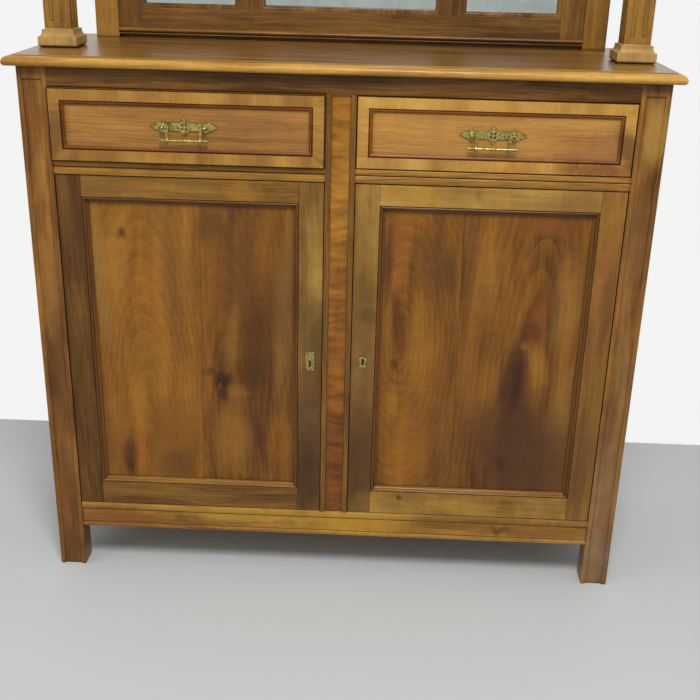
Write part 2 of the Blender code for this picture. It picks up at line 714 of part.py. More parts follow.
def add_door(side, side_name):
    prefix = "door_" + side_name
    low = door_low + DOOR_GAP
    height = DOOR_OPENING_HEIGHT - DOOR_GAP * 2
    hinge_edge = side * (post_in - DOOR_GAP)
    width = post_in - stile_half - DOOR_GAP * 2
    lock_edge = hinge_edge - side * width
    carrier = add_carrier(prefix + "_pivot", (pivot_x(side), door_face + PIVOT_FROM_FACE, low))

    moulded = (DOOR_LOW_RAIL_FACE, height - DOOR_RAIL_FACE)
    up = (0, 0, 1)
    inwards = (-side, 0, 0)
    hinge_stile = frame_member(height, DOOR_STILE_FACE, moulded[0], moulded[1],
                               axes_matrix(up, inwards, (hinge_edge, door_face, low)))
    holes = [pin_hole(pivot_x(side), low - CUT_OVERRUN, low + PIN_IN_DOOR + SEAT_GAP),
             pin_hole(pivot_x(side), low + height - PIN_IN_DOOR - SEAT_GAP, low + height + CUT_OVERRUN)]
    add_piece(prefix + "_hinge_stile", combine(hinge_stile, holes), "walnut", carrier)

    lock_stile = frame_member(height, DOOR_STILE_FACE, moulded[0], moulded[1],
                              axes_matrix(up, (side, 0, 0), (lock_edge, door_face, low)))
    key_x = lock_edge + side * LOCK_FROM_EDGE
    slot = block((lock_edge - side * CUT_OVERRUN, lock_edge + side * (BOLT_LENGTH + SEAT_GAP * 2)),
                 (lock_y - BOLT_THICKNESS / 2 - SEAT_GAP, lock_y + BOLT_THICKNESS / 2 + SEAT_GAP),
                 lock_span(side, SEAT_GAP))
    pocket = prism(keyhole(key_x, lock_height(side)), "Y", door_face - CUT_OVERRUN, lock_y)
    add_piece(prefix + "_lock_stile", combine(lock_stile, [slot, pocket]), "walnut", carrier)

    rail_length = width - DOOR_STILE_FACE * 2 - SEAT_GAP * 2
    rail_start = hinge_edge - side * (DOOR_STILE_FACE + SEAT_GAP)
    for rail_name, face, across, edge in (
            ("_bottom_rail", DOOR_LOW_RAIL_FACE, (0, 0, 1), low),
            ("_top_rail", DOOR_RAIL_FACE, (0, 0, -1), low + height)):
        rail = frame_member(rail_length, face, 0.0, rail_length,
                            axes_matrix(inwards, across, (rail_start, door_face, edge)))
        add_piece(prefix + rail_name, rail, "walnut", carrier)

    tongue = MOULDING_WIDTH / 2
    panel_x = (hinge_edge - side * (DOOR_STILE_FACE + tongue),
               lock_edge + side * (DOOR_STILE_FACE + tongue))
    panel_front = door_face + PANEL_FACE_DEPTH + SEAT_GAP
    panel = block(panel_x, (panel_front, panel_front + PANEL_THICKNESS),
                  (low + DOOR_LOW_RAIL_FACE + tongue, low + height - DOOR_RAIL_FACE - tongue))
    add_piece(prefix + "_panel", panel, "golden_walnut", carrier)

    bolt = block((lock_edge + side * SEAT_GAP, lock_edge + side * BOLT_LENGTH),
                 (lock_y - BOLT_THICKNESS / 2, lock_y + BOLT_THICKNESS / 2), lock_span(side))
    bolt_carrier = add_carrier(prefix + "_bolt_axis", (lock_edge, lock_y, lock_height(side)))
    add_piece(prefix + "_lock_bolt", bolt, "steel", bolt_carrier)

    add_escutcheon(prefix + "_escutcheon", side, key_x, carrier)
    add_pin(prefix + "_pivot_lower", pivot_x(side), door_low, 1, carrier)
    add_pin(prefix + "_pivot_upper", pivot_x(side), mid_low, -1, carrier)


def add_escutcheon(name, side, x, carrier):
    # The left door has an oblong plate, the right door a rim that follows the keyhole
    near = door_face - SEAT_GAP
    z = lock_height(side)
    if side < 0:
        half = ESCUTCHEON_WIDTH / 2
        cut = ESCUTCHEON_CORNER
        high = z + ESCUTCHEON_ABOVE
        low = z - ESCUTCHEON_BELOW
        right = [(half - cut, low), (half, low + cut), (half, high - cut), (half - cut, high)]
        outline = [(x + dx, height) for dx, height in right]
        outline += [(x - dx, height) for dx, height in right[::-1]]
    else:
        outline = keyhole(x, z, KEYHOLE_RIM)
    plate = prism(outline, "Y", near - ESCUTCHEON_THICKNESS, near)
    hole = prism(keyhole(x, z), "Y", near - ESCUTCHEON_THICKNESS - CUT_OVERRUN, near + CUT_OVERRUN)
    add_piece(name, combine(plate, [hole]), "brass", carrier)


def dovetails(front_back, low, height, grow=0.0):
    # Tails of a drawer side, or with grow their sockets, as outlines in Y and Z, widest at the front
    pitch = height / DOVETAILS
    tip = front_back - DOVETAIL_LENGTH
    ends = (tip - grow, front_back + CUT_OVERRUN)
    outlines = []
    for number in range(DOVETAILS):
        middle = low + pitch * (number + 1 / 2)
        half = [pitch * DOVETAIL_WIDTH_SHARE / 2 - (y - tip) * DOVETAIL_SLOPE_SHARE + grow for y in ends]
        outlines.append([(ends[0], middle - half[0]), (ends[1], middle - half[1]),
                         (ends[1], middle + half[1]), (ends[0], middle + half[0])])
    return outlines


def add_drawer(side, side_name, drawn_out):
    prefix = "drawer_" + side_name
    face = front_y + DRAWER_SETBACK - drawn_out
    outer = side * (post_in - DRAWER_GAP)
    inner = side * (stile_half + DRAWER_GAP)
    middle = (outer + inner) / 2
    low = drawer_low + SEAT_GAP
    high = drawer_high - DRAWER_TOP_GAP
    rear = face + DRAWER_LENGTH
    front_back = face + DRAWER_FRONT_THICKNESS
    carrier = add_carrier(prefix + "_slide", (middle, face, low))

    side_high = high - DRAWER_SIDE_SHORT
    groove_low = low + DRAWER_GROOVE_HEIGHT
    groove_high = groove_low + DRAWER_BOTTOM_THICKNESS + SEAT_GAP * 2
    half = abs(outer - inner) / 2
    inside = half - DRAWER_SIDE_THICKNESS
    groove_x = inside + DRAWER_GROOVE_DEPTH
    side_height = side_high - low
    front = block((outer, inner), (face, front_back), (low, high))
    field = face_towards(front, (0, -1, 0))
    sink_field(front, field, [(DRAWER_BORDER, 0.0)])
    sink_field(front, field,
               ovolo_steps(DRAWER_MOULDING_WIDTH, DRAWER_MOULDING_RISE, DRAWER_PANEL_DROP))
    sockets = [prism(outline, "X", middle + hand * (inside - SEAT_GAP), middle + hand * (half + CUT_OVERRUN))
               for hand in (-1, 1) for outline in dovetails(front_back, low, side_height, SEAT_GAP)]
    add_piece(prefix + "_front", combine(front, sockets), "golden_walnut", carrier)

    for hand, hand_name in ((-1, "left"), (1, "right")):
        faces = (middle + hand * inside, middle + hand * half)
        wall = block(faces, (front_back + SEAT_GAP, rear), (low, side_high))
        tails = [prism(outline, "X", faces[0], faces[1])
                 for outline in dovetails(front_back, low, side_height)]
        groove = block((middle + hand * (inside - CUT_OVERRUN), middle + hand * groove_x),
                       (front_back - CUT_OVERRUN, rear + CUT_OVERRUN), (groove_low, groove_high))
        wall = combine(combine(wall, tails, "UNION"), [groove])
        add_piece(prefix + "_side_" + hand_name, wall, "inner_wood", carrier)

    groove_half = groove_x - SEAT_GAP
    bottom = block((middle - groove_half, middle + groove_half), (front_back + SEAT_GAP, rear),
                   (groove_low + SEAT_GAP, groove_high - SEAT_GAP))
    add_piece(prefix + "_bottom", bottom, "inner_wood", carrier)
    back = block((middle - inside + SEAT_GAP, middle + inside - SEAT_GAP),
                 (rear - DRAWER_SIDE_THICKNESS, rear),
                 (groove_high, side_high - DRAWER_BACK_SHORT))
    add_piece(prefix + "_back", back, "inner_wood", carrier)

    plate_back = face + DRAWER_PANEL_DROP - SEAT_GAP
    pull_z = low + PULL_FROM_DRAWER_FOOT
    add_pull(prefix, middle - PULL_LEFT_OF_MIDDLE, plate_back, pull_z, carrier)


def plate_outline():
    # One quarter of the pull plate's outline, from the lozenge's top to the arrow's tip
    quarter = [(0.0, LOZENGE_HALF_HEIGHT)]
    quarter.append((LOZENGE_HALF_WIDTH * 2 / 5, (LOZENGE_HALF_HEIGHT + STRIP_HALF_HEIGHT) / 2))
    quarter.append((LOZENGE_HALF_WIDTH, STRIP_HALF_HEIGHT))
    quarter.append((ARROW_START - ARROW_NECK, STRIP_HALF_HEIGHT))
    pitch = (PLATE_HALF_LENGTH - ARROW_START) / (ARROW_TEETH + 1)
    for tooth in range(ARROW_TEETH):
        left_share = 1 - tooth / (ARROW_TEETH + 1)
        next_share = 1 - (tooth + 1) / (ARROW_TEETH + 1)
        x = ARROW_START + pitch * tooth
        quarter.append((x, ARROW_HALF_HEIGHT * left_share))
        quarter.append((x + pitch, ARROW_HALF_HEIGHT * (left_share + next_share) / 2))
        quarter.append((x + pitch * 4 / 5, ARROW_HALF_HEIGHT * next_share * 4 / 5))
    quarter.append((PLATE_HALF_LENGTH, 0.0))
    return quarter


def pull_plate_shape():
    # Plate, studs and piercings, with the plate's back at y = 0 and its middle on the Y axis
    quarter = plate_outline()
    right = quarter + [(dx, -dz) for dx, dz in quarter[-2::-1]]
    outline = right + [(-dx, dz) for dx, dz in right[-2:0:-1]]
    pivot_y = -PLATE_THICKNESS - PIVOT_STANDOFF
    plate = prism(outline, "Y", -PLATE_THICKNESS, 0.0)

    petals = []
    for number in range(4):
        lean = math.tau * (number + 1 / 2) / 4
        petal = []
        for step in range(PETAL_STEPS):
            turn = math.tau * step / PETAL_STEPS
            away = PETAL_OFFSET + PETAL_LENGTH / 2 * math.cos(turn)
            aside = PETAL_WIDTH / 2 * math.sin(turn)
            petal.append((away * math.cos(lean) - aside * math.sin(lean),
                          away * math.sin(lean) + aside * math.cos(lean)))
        petals.append(prism(petal, "Y", -PLATE_THICKNESS - CUT_OVERRUN, CUT_OVERRUN))
    plate = combine(plate, petals)

    studs = []
    holes = []
    meet = math.sqrt(STUD_BALL_RADIUS ** 2 - STUD_NECK_RADIUS ** 2)
    first = math.asin(STUD_NECK_RADIUS / STUD_BALL_RADIUS)
    for hand in (-1, 1):
        stud_x = hand * STUD_OFFSET
        profile = [(0.0, -PLATE_THICKNESS / 2),
                   (STUD_FOOT_RADIUS, -PLATE_THICKNESS / 2),
                   (STUD_FOOT_RADIUS, -PLATE_THICKNESS - STUD_FOOT_HEIGHT / 2),
                   (STUD_NECK_RADIUS, -PLATE_THICKNESS - STUD_FOOT_HEIGHT),
                   (STUD_NECK_RADIUS, pivot_y + meet)]
        for step in range(1, CURVE_STEPS + 1):
            turn = first + (math.pi - first) * step / (CURVE_STEPS + 1)
            profile.append((STUD_BALL_RADIUS * math.sin(turn),
                            pivot_y + STUD_BALL_RADIUS * math.cos(turn)))
        profile.append((0.0, pivot_y - STUD_BALL_RADIUS))
        studs.append(turned(profile, "Y", (stud_x, 0.0, 0.0)))
        reach = STUD_BALL_RADIUS + CUT_OVERRUN
        radius = TRUNNION_RADIUS + TRUNNION_CLEARANCE
        holes.append(turned([(0.0, -reach), (radius, -reach), (radius, reach), (0.0, reach)],
                            "X", (stud_x, pivot_y, 0.0), PETAL_STEPS))
    return combine(combine(plate, studs, "UNION"), holes)


def add_pull(prefix, x, plate_back, z, carrier):
    plate = pull_plate_shape()
    bmesh.ops.translate(plate, verts=plate.verts, vec=(x, plate_back, z))
    add_piece(prefix + "_pull_plate", plate, "brass", carrier)
    axis = Vector((x, plate_back - PLATE_THICKNESS - PIVOT_STANDOFF, z))
    bail = bail_shape()
    bmesh.ops.translate(bail, verts=bail.verts, vec=axis)
    add_piece(prefix + "_bail", bail, "brass", add_carrier(prefix + "_bail_axis", axis))


def bar_profile():
    # The turned bar from end to end: beads in the middle, a boss at each arm, ribs to the ends
    half = [(BAR_RADIUS, 0.0)]
    rib_start = ARM_OFFSET + BAR_BOSS_WIDTH / 2
    pitch = (BAR_HALF_LENGTH - rib_start) / BAR_RIBS
    rings = [(BAR_BEAD_WIDTH * 2 / 3, BAR_BEAD_WIDTH, BAR_BEAD_RADIUS),
             (ARM_OFFSET, BAR_BOSS_WIDTH, BAR_BOSS_RADIUS)]
    rings += [(rib_start + pitch * (number + 1 / 2), pitch, BAR_BEAD_RADIUS)
              for number in range(BAR_RIBS)]
    for middle, width, radius in rings:
        half += [(BAR_RADIUS, middle - width * 2 / 5), (radius, middle - width / 4),
                 (radius, middle + width / 4), (BAR_RADIUS, middle + width * 2 / 5)]
    half.append((0.0, BAR_HALF_LENGTH))
    return [(radius, -place) for radius, place in half[:0:-1]] + half


def bail_shape():
    # Bar, arms and trunnions, with the hinge line on the X axis
    bar = turned(bar_profile(), "X", (0.0, 0.0, -BAIL_DROP), ROUND_STEPS * 3 // 4)
    parts = []
    for hand in (-1, 1):
        arm_x = hand * ARM_OFFSET
        half = ARM_WIDTH / 2
        shoulder = ARM_ABOVE_PIVOT * 2 / 3
        outline = [(arm_x - half, -BAIL_DROP), (arm_x + half, -BAIL_DROP), (arm_x + half, shoulder),
                   (arm_x + half / 3, ARM_ABOVE_PIVOT), (arm_x - half / 3, ARM_ABOVE_PIVOT),
                   (arm_x - half, shoulder)]
        parts.append(prism(outline, "Y", -ARM_THICKNESS / 2, ARM_THICKNESS / 2))
        ends = (hand * (ARM_OFFSET + half / 2), hand * (STUD_OFFSET + TRUNNION_PAST_STUD))
        parts.append(turned([(0.0, ends[0]), (TRUNNION_RADIUS, ends[0]), (TRUNNION_RADIUS, ends[1]),
                             (0.0, ends[1])], "X", (0.0, 0.0, 0.0), PETAL_STEPS))
    return combine(bar, parts, "UNION")


def flute_cutters(x, y, low, high):
    # Two stopped flutes in each of the post's four faces
    cutters = []
    for turn in range(4):
        place = Matrix.Translation((x, y, 0.0)) @ Matrix.Rotation(math.tau * turn / 4, 4, "Z")
        for hand in (-1, 1):
            outline = []
            for step in range(CURVE_STEPS + 1):
                angle = math.pi * step / CURVE_STEPS
                outline.append((hand * FLUTE_OFFSET + FLUTE_WIDTH / 2 * math.cos(angle),
                                FLUTE_DEPTH * math.sin(angle) - STAGE_SHAFT_HALF))
            half = FLUTE_WIDTH / 2
            outline += [(hand * FLUTE_OFFSET - half, -STAGE_SHAFT_HALF - CUT_OVERRUN),
                        (hand * FLUTE_OFFSET + half, -STAGE_SHAFT_HALF - CUT_OVERRUN)]
            cutter = prism(outline, "Z", low, high)
            bmesh.ops.transform(cutter, matrix=place, verts=cutter.verts)
            cutters.append(cutter)
    return cutters


def base_levels():
    # Half width and height of the post's base: rounded foot, plinth, hollow slope, fillet and neck
    levels = []
    for step in range(CURVE_STEPS + 1):
        turn = math.pi * step / CURVE_STEPS / 2
        levels.append((STAGE_FOOT_HALF + (STAGE_PLINTH_HALF - STAGE_FOOT_HALF) * math.sin(turn),
                       STAGE_FOOT_ROUND * (1 - math.cos(turn))))
    height = STAGE_PLINTH_HEIGHT
    for step in range(CURVE_STEPS + 1):
        turn = math.pi * step / CURVE_STEPS / 2
        levels.append((STAGE_PLINTH_HALF - (STAGE_PLINTH_HALF - STAGE_FILLET_HALF) * math.sin(turn),
                       height + STAGE_SLOPE_HEIGHT * (1 - math.cos(turn))))
    height += STAGE_SLOPE_HEIGHT + STAGE_FILLET_HEIGHT
    levels.append((STAGE_FILLET_HALF, height))
    for step in range(CURVE_STEPS + 1):
        turn = math.pi * step / CURVE_STEPS / 2
        middle = (STAGE_FILLET_HALF + STAGE_SHAFT_HALF) / 2
        levels.append((middle - (middle - STAGE_SHAFT_HALF) * math.sin(turn),
                       height + STAGE_NECK_HEIGHT * (1 - math.cos(turn))))
    return levels


def add_stage_posts():
    low = table_top + SEAT_GAP
    high = stage_top - SEAT_GAP
    y = front_y + STAGE_POST_FRONT + STAGE_PLINTH_HALF
    levels = [(half, low + height) for half, height in base_levels()]
    levels += [(half, high - height) for half, height in base_levels()[::-1]]
    for side, side_name in ((-1, "left"), (1, "right")):
        x = side * (stage_post_out - STAGE_PLINTH_HALF)

        def corners_at(half, x=x):
            return ((x - half, y - half), (x + half, y - half), (x + half, y + half),
                    (x - half, y + half))
        post = stacked(corners_at, levels)
        flutes = flute_cutters(x, y, table_top + FLUTE_STOP, stage_top - FLUTE_STOP)
        add_piece("stage_post_" + side_name, combine(post, flutes), "walnut")


def add_uprights():
    y = front_y + UPRIGHT_FRONT
    for side, side_name in ((-1, "left"), (1, "right")):
        upright = block((side * (upright_out - UPRIGHT_WIDTH), side * upright_out),
                        (y, y + UPRIGHT_DEPTH), (table_top + SEAT_GAP, stage_top - SEAT_GAP))
        add_piece("stage_upright_" + side_name, upright, "walnut")


def sight_spans():
    # Left and right of each mirror's sight opening, measured on the frame's flat face
    narrow = (WIDE_SIGHT_HALF + FRAME_MUNTIN_FACE, frame_half - FRAME_STILE_FACE)
    return {"left": (-narrow[1], -narrow[0]), "centre": (-WIDE_SIGHT_HALF, WIDE_SIGHT_HALF),
            "right": narrow}


def add_mirror_frame():
    face = front_y + UPRIGHT_FRONT + FRAME_SETBACK
    low = table_top + SEAT_GAP
    high = stage_top - SEAT_GAP
    sight_low = table_top + FRAME_SIGHT_LOW
    sight_high = stage_top - FRAME_SIGHT_HIGH
    frame = block((-frame_half, frame_half), (face, face + FRAME_THICKNESS), (low, high))
    spans = sight_spans()
    cuts = [(Vector((x, 0, 0)), Vector((1, 0, 0))) for span in spans.values() for x in span]
    cuts += [(Vector((0, 0, z)), Vector((0, 0, 1))) for z in (sight_low, sight_high)]
    for place, direction in cuts:
        bmesh.ops.bisect_plane(frame, geom=frame.verts[:] + frame.edges[:] + frame.faces[:],
                               plane_co=place, plane_no=direction, dist=WELD_DISTANCE)
    grow = FRAME_MOULDING_WIDTH - FRAME_REBATE
    for span in spans.values():
        loops = []
        for facing, steps in (
                (-1, ovolo_steps(FRAME_MOULDING_WIDTH, 0.0, FRAME_MOULDING_DROP)
                 + [(0.0, FRAME_MOULDING_DROP - FRAME_LIP_DEPTH)]),
                (1, [(grow, 0.0), (0.0, FRAME_LIP_DEPTH - FRAME_THICKNESS)])):
            frame.normal_update()
            opening = [item for item in frame.faces if item.normal.y * facing > 0.99
                       and span[0] < item.calc_center_median().x < span[1]
                       and sight_low < item.calc_center_median().z < sight_high][0]
            sink_field(frame, opening, steps)
            loops.append(opening)
        edges = [edge for opening in loops for edge in opening.edges]
        bmesh.ops.delete(frame, geom=loops, context="FACES_ONLY")
        bmesh.ops.bridge_loops(frame, edges=edges)
    band_low = low + FRAME_FOOT_RECESS
    band = banded_front(face, [(FRAME_FOOT_STRIP, FRAME_FOOT_STRIP_REACH),
                               (FRAME_FOOT_BAND, FRAME_FOOT_REACH)])
    inside = face + FRAME_THICKNESS / 2
    outline = [(y, band_low + z) for y, z in band]
    outline += [(inside, band_low + band[-1][1]), (inside, band_low)]
    strip = prism(outline, "X", -frame_half, frame_half)
    recess = block((-frame_half - CUT_OVERRUN, frame_half + CUT_OVERRUN),
                   (face - CUT_OVERRUN, face + FRAME_FOOT_REACH), (low - CUT_OVERRUN, band_low))
    add_piece("mirror_frame", combine(combine(frame, [strip], "UNION"), [recess]), "walnut")


def add_mirrors():
    near = front_y + UPRIGHT_FRONT + FRAME_SETBACK + FRAME_LIP_DEPTH + SEAT_GAP
    inset = FRAME_MOULDING_WIDTH - FRAME_REBATE + SEAT_GAP
    low = table_top + FRAME_SIGHT_LOW + inset
    high = stage_top - FRAME_SIGHT_HIGH - inset
    for name, span in sight_spans().items():
        glass = block((span[0] + inset, span[1] - inset), (near, near + GLASS_THICKNESS), (low, high))
        face = face_towards(glass, (0, -1, 0))
        sink_field(glass, face, [(GLASS_BEVEL, GLASS_BEVEL_RISE)])
        add_piece("mirror_" + name, glass, "mirror")
    rear = front_y + UPRIGHT_FRONT + FRAME_SETBACK + FRAME_THICKNESS + SEAT_GAP
    board = block((-frame_half, frame_half), (rear, rear + BACKBOARD_THICKNESS),
                  (table_top + SEAT_GAP, stage_top - SEAT_GAP))
    add_piece("mirror_backboard", board, "inner_wood")


def add_stage_shelf():
    front = front_y + STAGE_POST_FRONT
    add_piece("stage_shelf", moulded_board(stage_post_out, front, stage_top), "golden_walnut")


clear_scene()
add_posts()
add_centre_stile()
add_rails()
add_sides()
add_back_panel()
add_boards()
add_runners()
add_top_board()
add_stage_posts()
add_uprights()
add_mirror_frame()
add_mirrors()
add_stage_shelf()
add_door(-1, "left")
add_door(1, "right")
add_drawer(-1, "left", LEFT_DRAWER_DRAWN_OUT)
add_drawer(1, "right", 0.0)
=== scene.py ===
import json
import math

import bmesh
import bpy
from mathutils import Matrix, Vector


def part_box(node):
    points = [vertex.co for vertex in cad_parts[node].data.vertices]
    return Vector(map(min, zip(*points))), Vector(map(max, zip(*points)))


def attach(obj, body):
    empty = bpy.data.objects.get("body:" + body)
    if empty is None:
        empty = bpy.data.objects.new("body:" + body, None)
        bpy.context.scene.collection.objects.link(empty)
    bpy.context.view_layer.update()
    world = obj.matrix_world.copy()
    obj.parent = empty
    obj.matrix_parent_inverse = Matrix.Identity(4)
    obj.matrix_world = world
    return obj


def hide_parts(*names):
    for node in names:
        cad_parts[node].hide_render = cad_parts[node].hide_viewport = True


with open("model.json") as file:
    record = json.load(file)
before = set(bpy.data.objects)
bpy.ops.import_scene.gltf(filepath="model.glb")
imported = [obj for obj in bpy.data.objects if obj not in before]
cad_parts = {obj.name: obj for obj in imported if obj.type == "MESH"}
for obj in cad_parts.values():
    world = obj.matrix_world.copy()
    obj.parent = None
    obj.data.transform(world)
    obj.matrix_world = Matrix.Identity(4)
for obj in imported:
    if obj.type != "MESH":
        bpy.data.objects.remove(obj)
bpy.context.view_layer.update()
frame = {"nodes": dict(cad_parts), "record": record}

nodes = frame["nodes"]
bodyOf = {node: body for body, held in frame["record"]["behaviour"]["bodies"].items() for node in held}
mm = 0.001


def hexColour(text):
    # sRGB hex to the linear values that shaders and lamps take
    values = [int(text[i:i + 2], 16) / 255 for i in (0, 2, 4)]
    return tuple(v / 12.92 if v <= 0.04045 else ((v + 0.055) / 1.055) ** 2.4 for v in values) + (1.0,)


def addNode(tree, kind, settings=None, links=None):
    # Adds a shader node; settings are properties or socket values, links feed its sockets
    node = tree.nodes.new("ShaderNode" + kind)
    for name, value in (settings or {}).items():
        if name == "stops":
            while len(node.color_ramp.elements) < len(value):
                node.color_ramp.elements.new(0.5)
            for element, (place, colour) in zip(node.color_ramp.elements, value):
                element.position = place
                element.color = hexColour(colour)
        elif isinstance(name, str) and hasattr(node, name):
            setattr(node, name, value)
        else:
            node.inputs[name].default_value = value
    for name, socket in (links or {}).items():
        tree.links.new(socket, node.inputs[name])
    return node


def newMaterial(name):
    material = bpy.data.materials.new(name)
    material.use_nodes = True
    tree = material.node_tree
    return material, tree, tree.nodes["Principled BSDF"]


# Camera, at the place and angle of the photograph
cameraSpot = {
    "place": (0.07268, -1.96155, 1.20840),
    "yaw": -1.5306,        # degrees, turned a little to the left
    "down": 22.0126,
    "roll": 1.4576,
    "lens": 53.55,         # on a 36 mm sensor
}


def makeCamera():
    yaw, down, roll = (math.radians(cameraSpot[key]) for key in ("yaw", "down", "roll"))
    ahead = Vector((math.sin(yaw) * math.cos(down), math.cos(yaw) * math.cos(down), -math.sin(down)))
    level = Vector((math.cos(yaw), -math.sin(yaw), 0))
    above = level.cross(ahead)
    right = math.cos(roll) * level + math.sin(roll) * above
    up = math.cos(roll) * above - math.sin(roll) * level
    data = bpy.data.cameras.new("camera")
    data.sensor_width = 36
    data.lens = cameraSpot["lens"]
    camera = bpy.data.objects.new("camera", data)
    bpy.context.scene.collection.objects.link(camera)
    turned = Matrix((right, up, -ahead)).transposed().to_4x4()
    camera.matrix_world = Matrix.Translation(cameraSpot["place"]) @ turned
    bpy.context.scene.camera = camera


makeCamera()
print("camera placed")


# Floor, backdrop and soft studio light
studio = {
    "floor": "c5c8c8",
    "wall": "f3f4f3",
    "wallBehind": 0.46,      # metres behind the middle of the object
    "wallHeight": 6,
    "reach": 9,              # half the width of floor and wall
    "lamps": {               # place, width in metres, watts
        "keyLamp": ((0.25, -1.95, 2.95), 1.0, 68),
        "fillLamp": ((-2.5, -1.7, 1.9), 2.0, 11),
    },
    "lampAim": (0, 0, 0.7),
    "skyStrength": 0.52,
}


def flatPlane(name, corners):
    bm = bmesh.new()
    bm.faces.new([bm.verts.new(corner) for corner in corners])
    mesh = bpy.data.meshes.new(name)
    bm.to_mesh(mesh)
    bm.free()
    plane = bpy.data.objects.new(name, mesh)
    bpy.context.scene.collection.objects.link(plane)
    return plane


def makeStudio():
    wide, back, top = studio["reach"], studio["wallBehind"], studio["wallHeight"]
    floor = flatPlane("floor", [(-wide, -wide, 0), (wide, -wide, 0), (wide, wide, 0), (-wide, wide, 0)])
    paint, tree, shader = newMaterial("matt floor paint")      # even pale grey, no shine
    shader.inputs["Base Color"].default_value = hexColour(studio["floor"])
    shader.inputs["Roughness"].default_value = 0.75
    shader.inputs["Specular IOR Level"].default_value = 0.2
    floor.data.materials.append(paint)

    # The wall only fills the camera's view from the front, so it neither lights nor hides the back
    wall = flatPlane("wall", [(-wide, back, 0), (wide, back, 0), (wide, back, top), (-wide, back, top)])
    white, tree, shader = newMaterial("white wall")
    glow = addNode(tree, "Emission", {"Color": hexColour(studio["wall"]), "Strength": 1.0})
    clear = addNode(tree, "BsdfTransparent")
    side = addNode(tree, "NewGeometry")
    shown = addNode(tree, "MixShader", None,
                    {0: side.outputs["Backfacing"], 1: glow.outputs[0], 2: clear.outputs[0]})
    tree.links.new(shown.outputs[0], tree.nodes["Material Output"].inputs["Surface"])
    wall.data.materials.append(white)
    wall.visible_diffuse = False
    wall.visible_glossy = False
    wall.visible_transmission = False
    wall.visible_shadow = False

    world = bpy.data.worlds.new("studio")
    bpy.context.scene.world = world
    world.use_nodes = True
    tree = world.node_tree
    sky = tree.nodes["Background"]
    sky.inputs["Color"].default_value = (1, 1, 1, 1)
    sky.inputs["Strength"].default_value = studio["skyStrength"]
    seen = addNode(tree, "Background", {"Color": hexColour(studio["wall"]), "Strength": 1.0})
    rays = addNode(tree, "LightPath")
    direct = addNode(tree, "Math", {"operation": "MAXIMUM"},
                     {0: rays.outputs["Is Camera Ray"], 1: rays.outputs["Is Transmission Ray"]})
    direct = addNode(tree, "Math", {"operation": "MAXIMUM"},
                     {0: direct.outputs[0], 1: rays.outputs["Is Glossy Ray"]})
    mixed = addNode(tree, "MixShader", None, {0: direct.outputs[0], 1: sky.outputs[0], 2: seen.outputs[0]})
    tree.links.new(mixed.outputs[0], tree.nodes["World Output"].inputs["Surface"])

    for name, (place, size, energy) in studio["lamps"].items():
        data = bpy.data.lights.new(name, "AREA")
        data.shape = "DISK"
        data.size = size
        data.energy = energy
        lamp = bpy.data.objects.new(name, data)
        aim = Vector(studio["lampAim"]) - Vector(place)
        lamp.matrix_world = Matrix.Translation(place) @ aim.to_track_quat("-Z", "Y").to_matrix().to_4x4()
        bpy.context.scene.collection.objects.link(lamp)

    bpy.context.scene.view_settings.view_transform = "Standard"


makeStudio()
print("studio ready")


# Waxed walnut. Each board is cut from its own place in the pattern
walnut = {
    "stops": [(0.0, "2f1b0c"), (0.3, "54350f"), (0.5, "6f4b20"), (0.75, "8e6528"), (1.0, "a67a38")],
    "tone": 0.0,             # lighter above 0, darker below
    "clouds": 0.8,           # broad changes along the board
    "streaks": 0.7,
    "streakWidth": 6.0,      # mm across the grain
    "streakLength": 170.0,   # mm along the grain
    "lines": 0.07,           # growth rings
    "lineStep": 7.0,         # mm between rings on a flat-sawn face
    "rings": None,           # centre x, z, step x, step z in metres, lean in degrees
    "figure": 0.05,          # strength of the cross figure
    "figureStep": 14.0,      # mm along the grain
    "figureWidth": 60.0,     # mm across the grain
    "poreWidth": 0.9,        # mm; real pores are 0.2 mm, drawn coarser so that they show
    "poreLength": 13.0,
    "pores": 0.20,
    "relief": 0.2 * mm,      # depth of the pores in the bump
    "rough": 0.38,
    "shine": 0.17,
    "wax": 0.08,             # weight of the coat
    "waxRough": 0.20,
    "cornerShade": 0.82,            # painted shade: darkening in the corners of mouldings
    "cornerShadeReach": 8 * mm,
    "jointLine": 0.7 * mm,   # dark line between the boards of a frame
    "planks": None,          # axis, start and width in metres, change of tone from plank to plank
    "waver": (30 * mm, 30 * mm, 0),      # how far the grain bends, about every 220 mm
    "ripple": (0, 0, 30 * mm),           # how far the bars of the figure bend, about every 60 mm
    "swirl": (20 * mm, 0, 45 * mm),      # how far the rings bend, about every 90 mm
    "marks": [],             # x, z, half width, half height in metres, lean in degrees, amount, colour
}
boardCount = 0


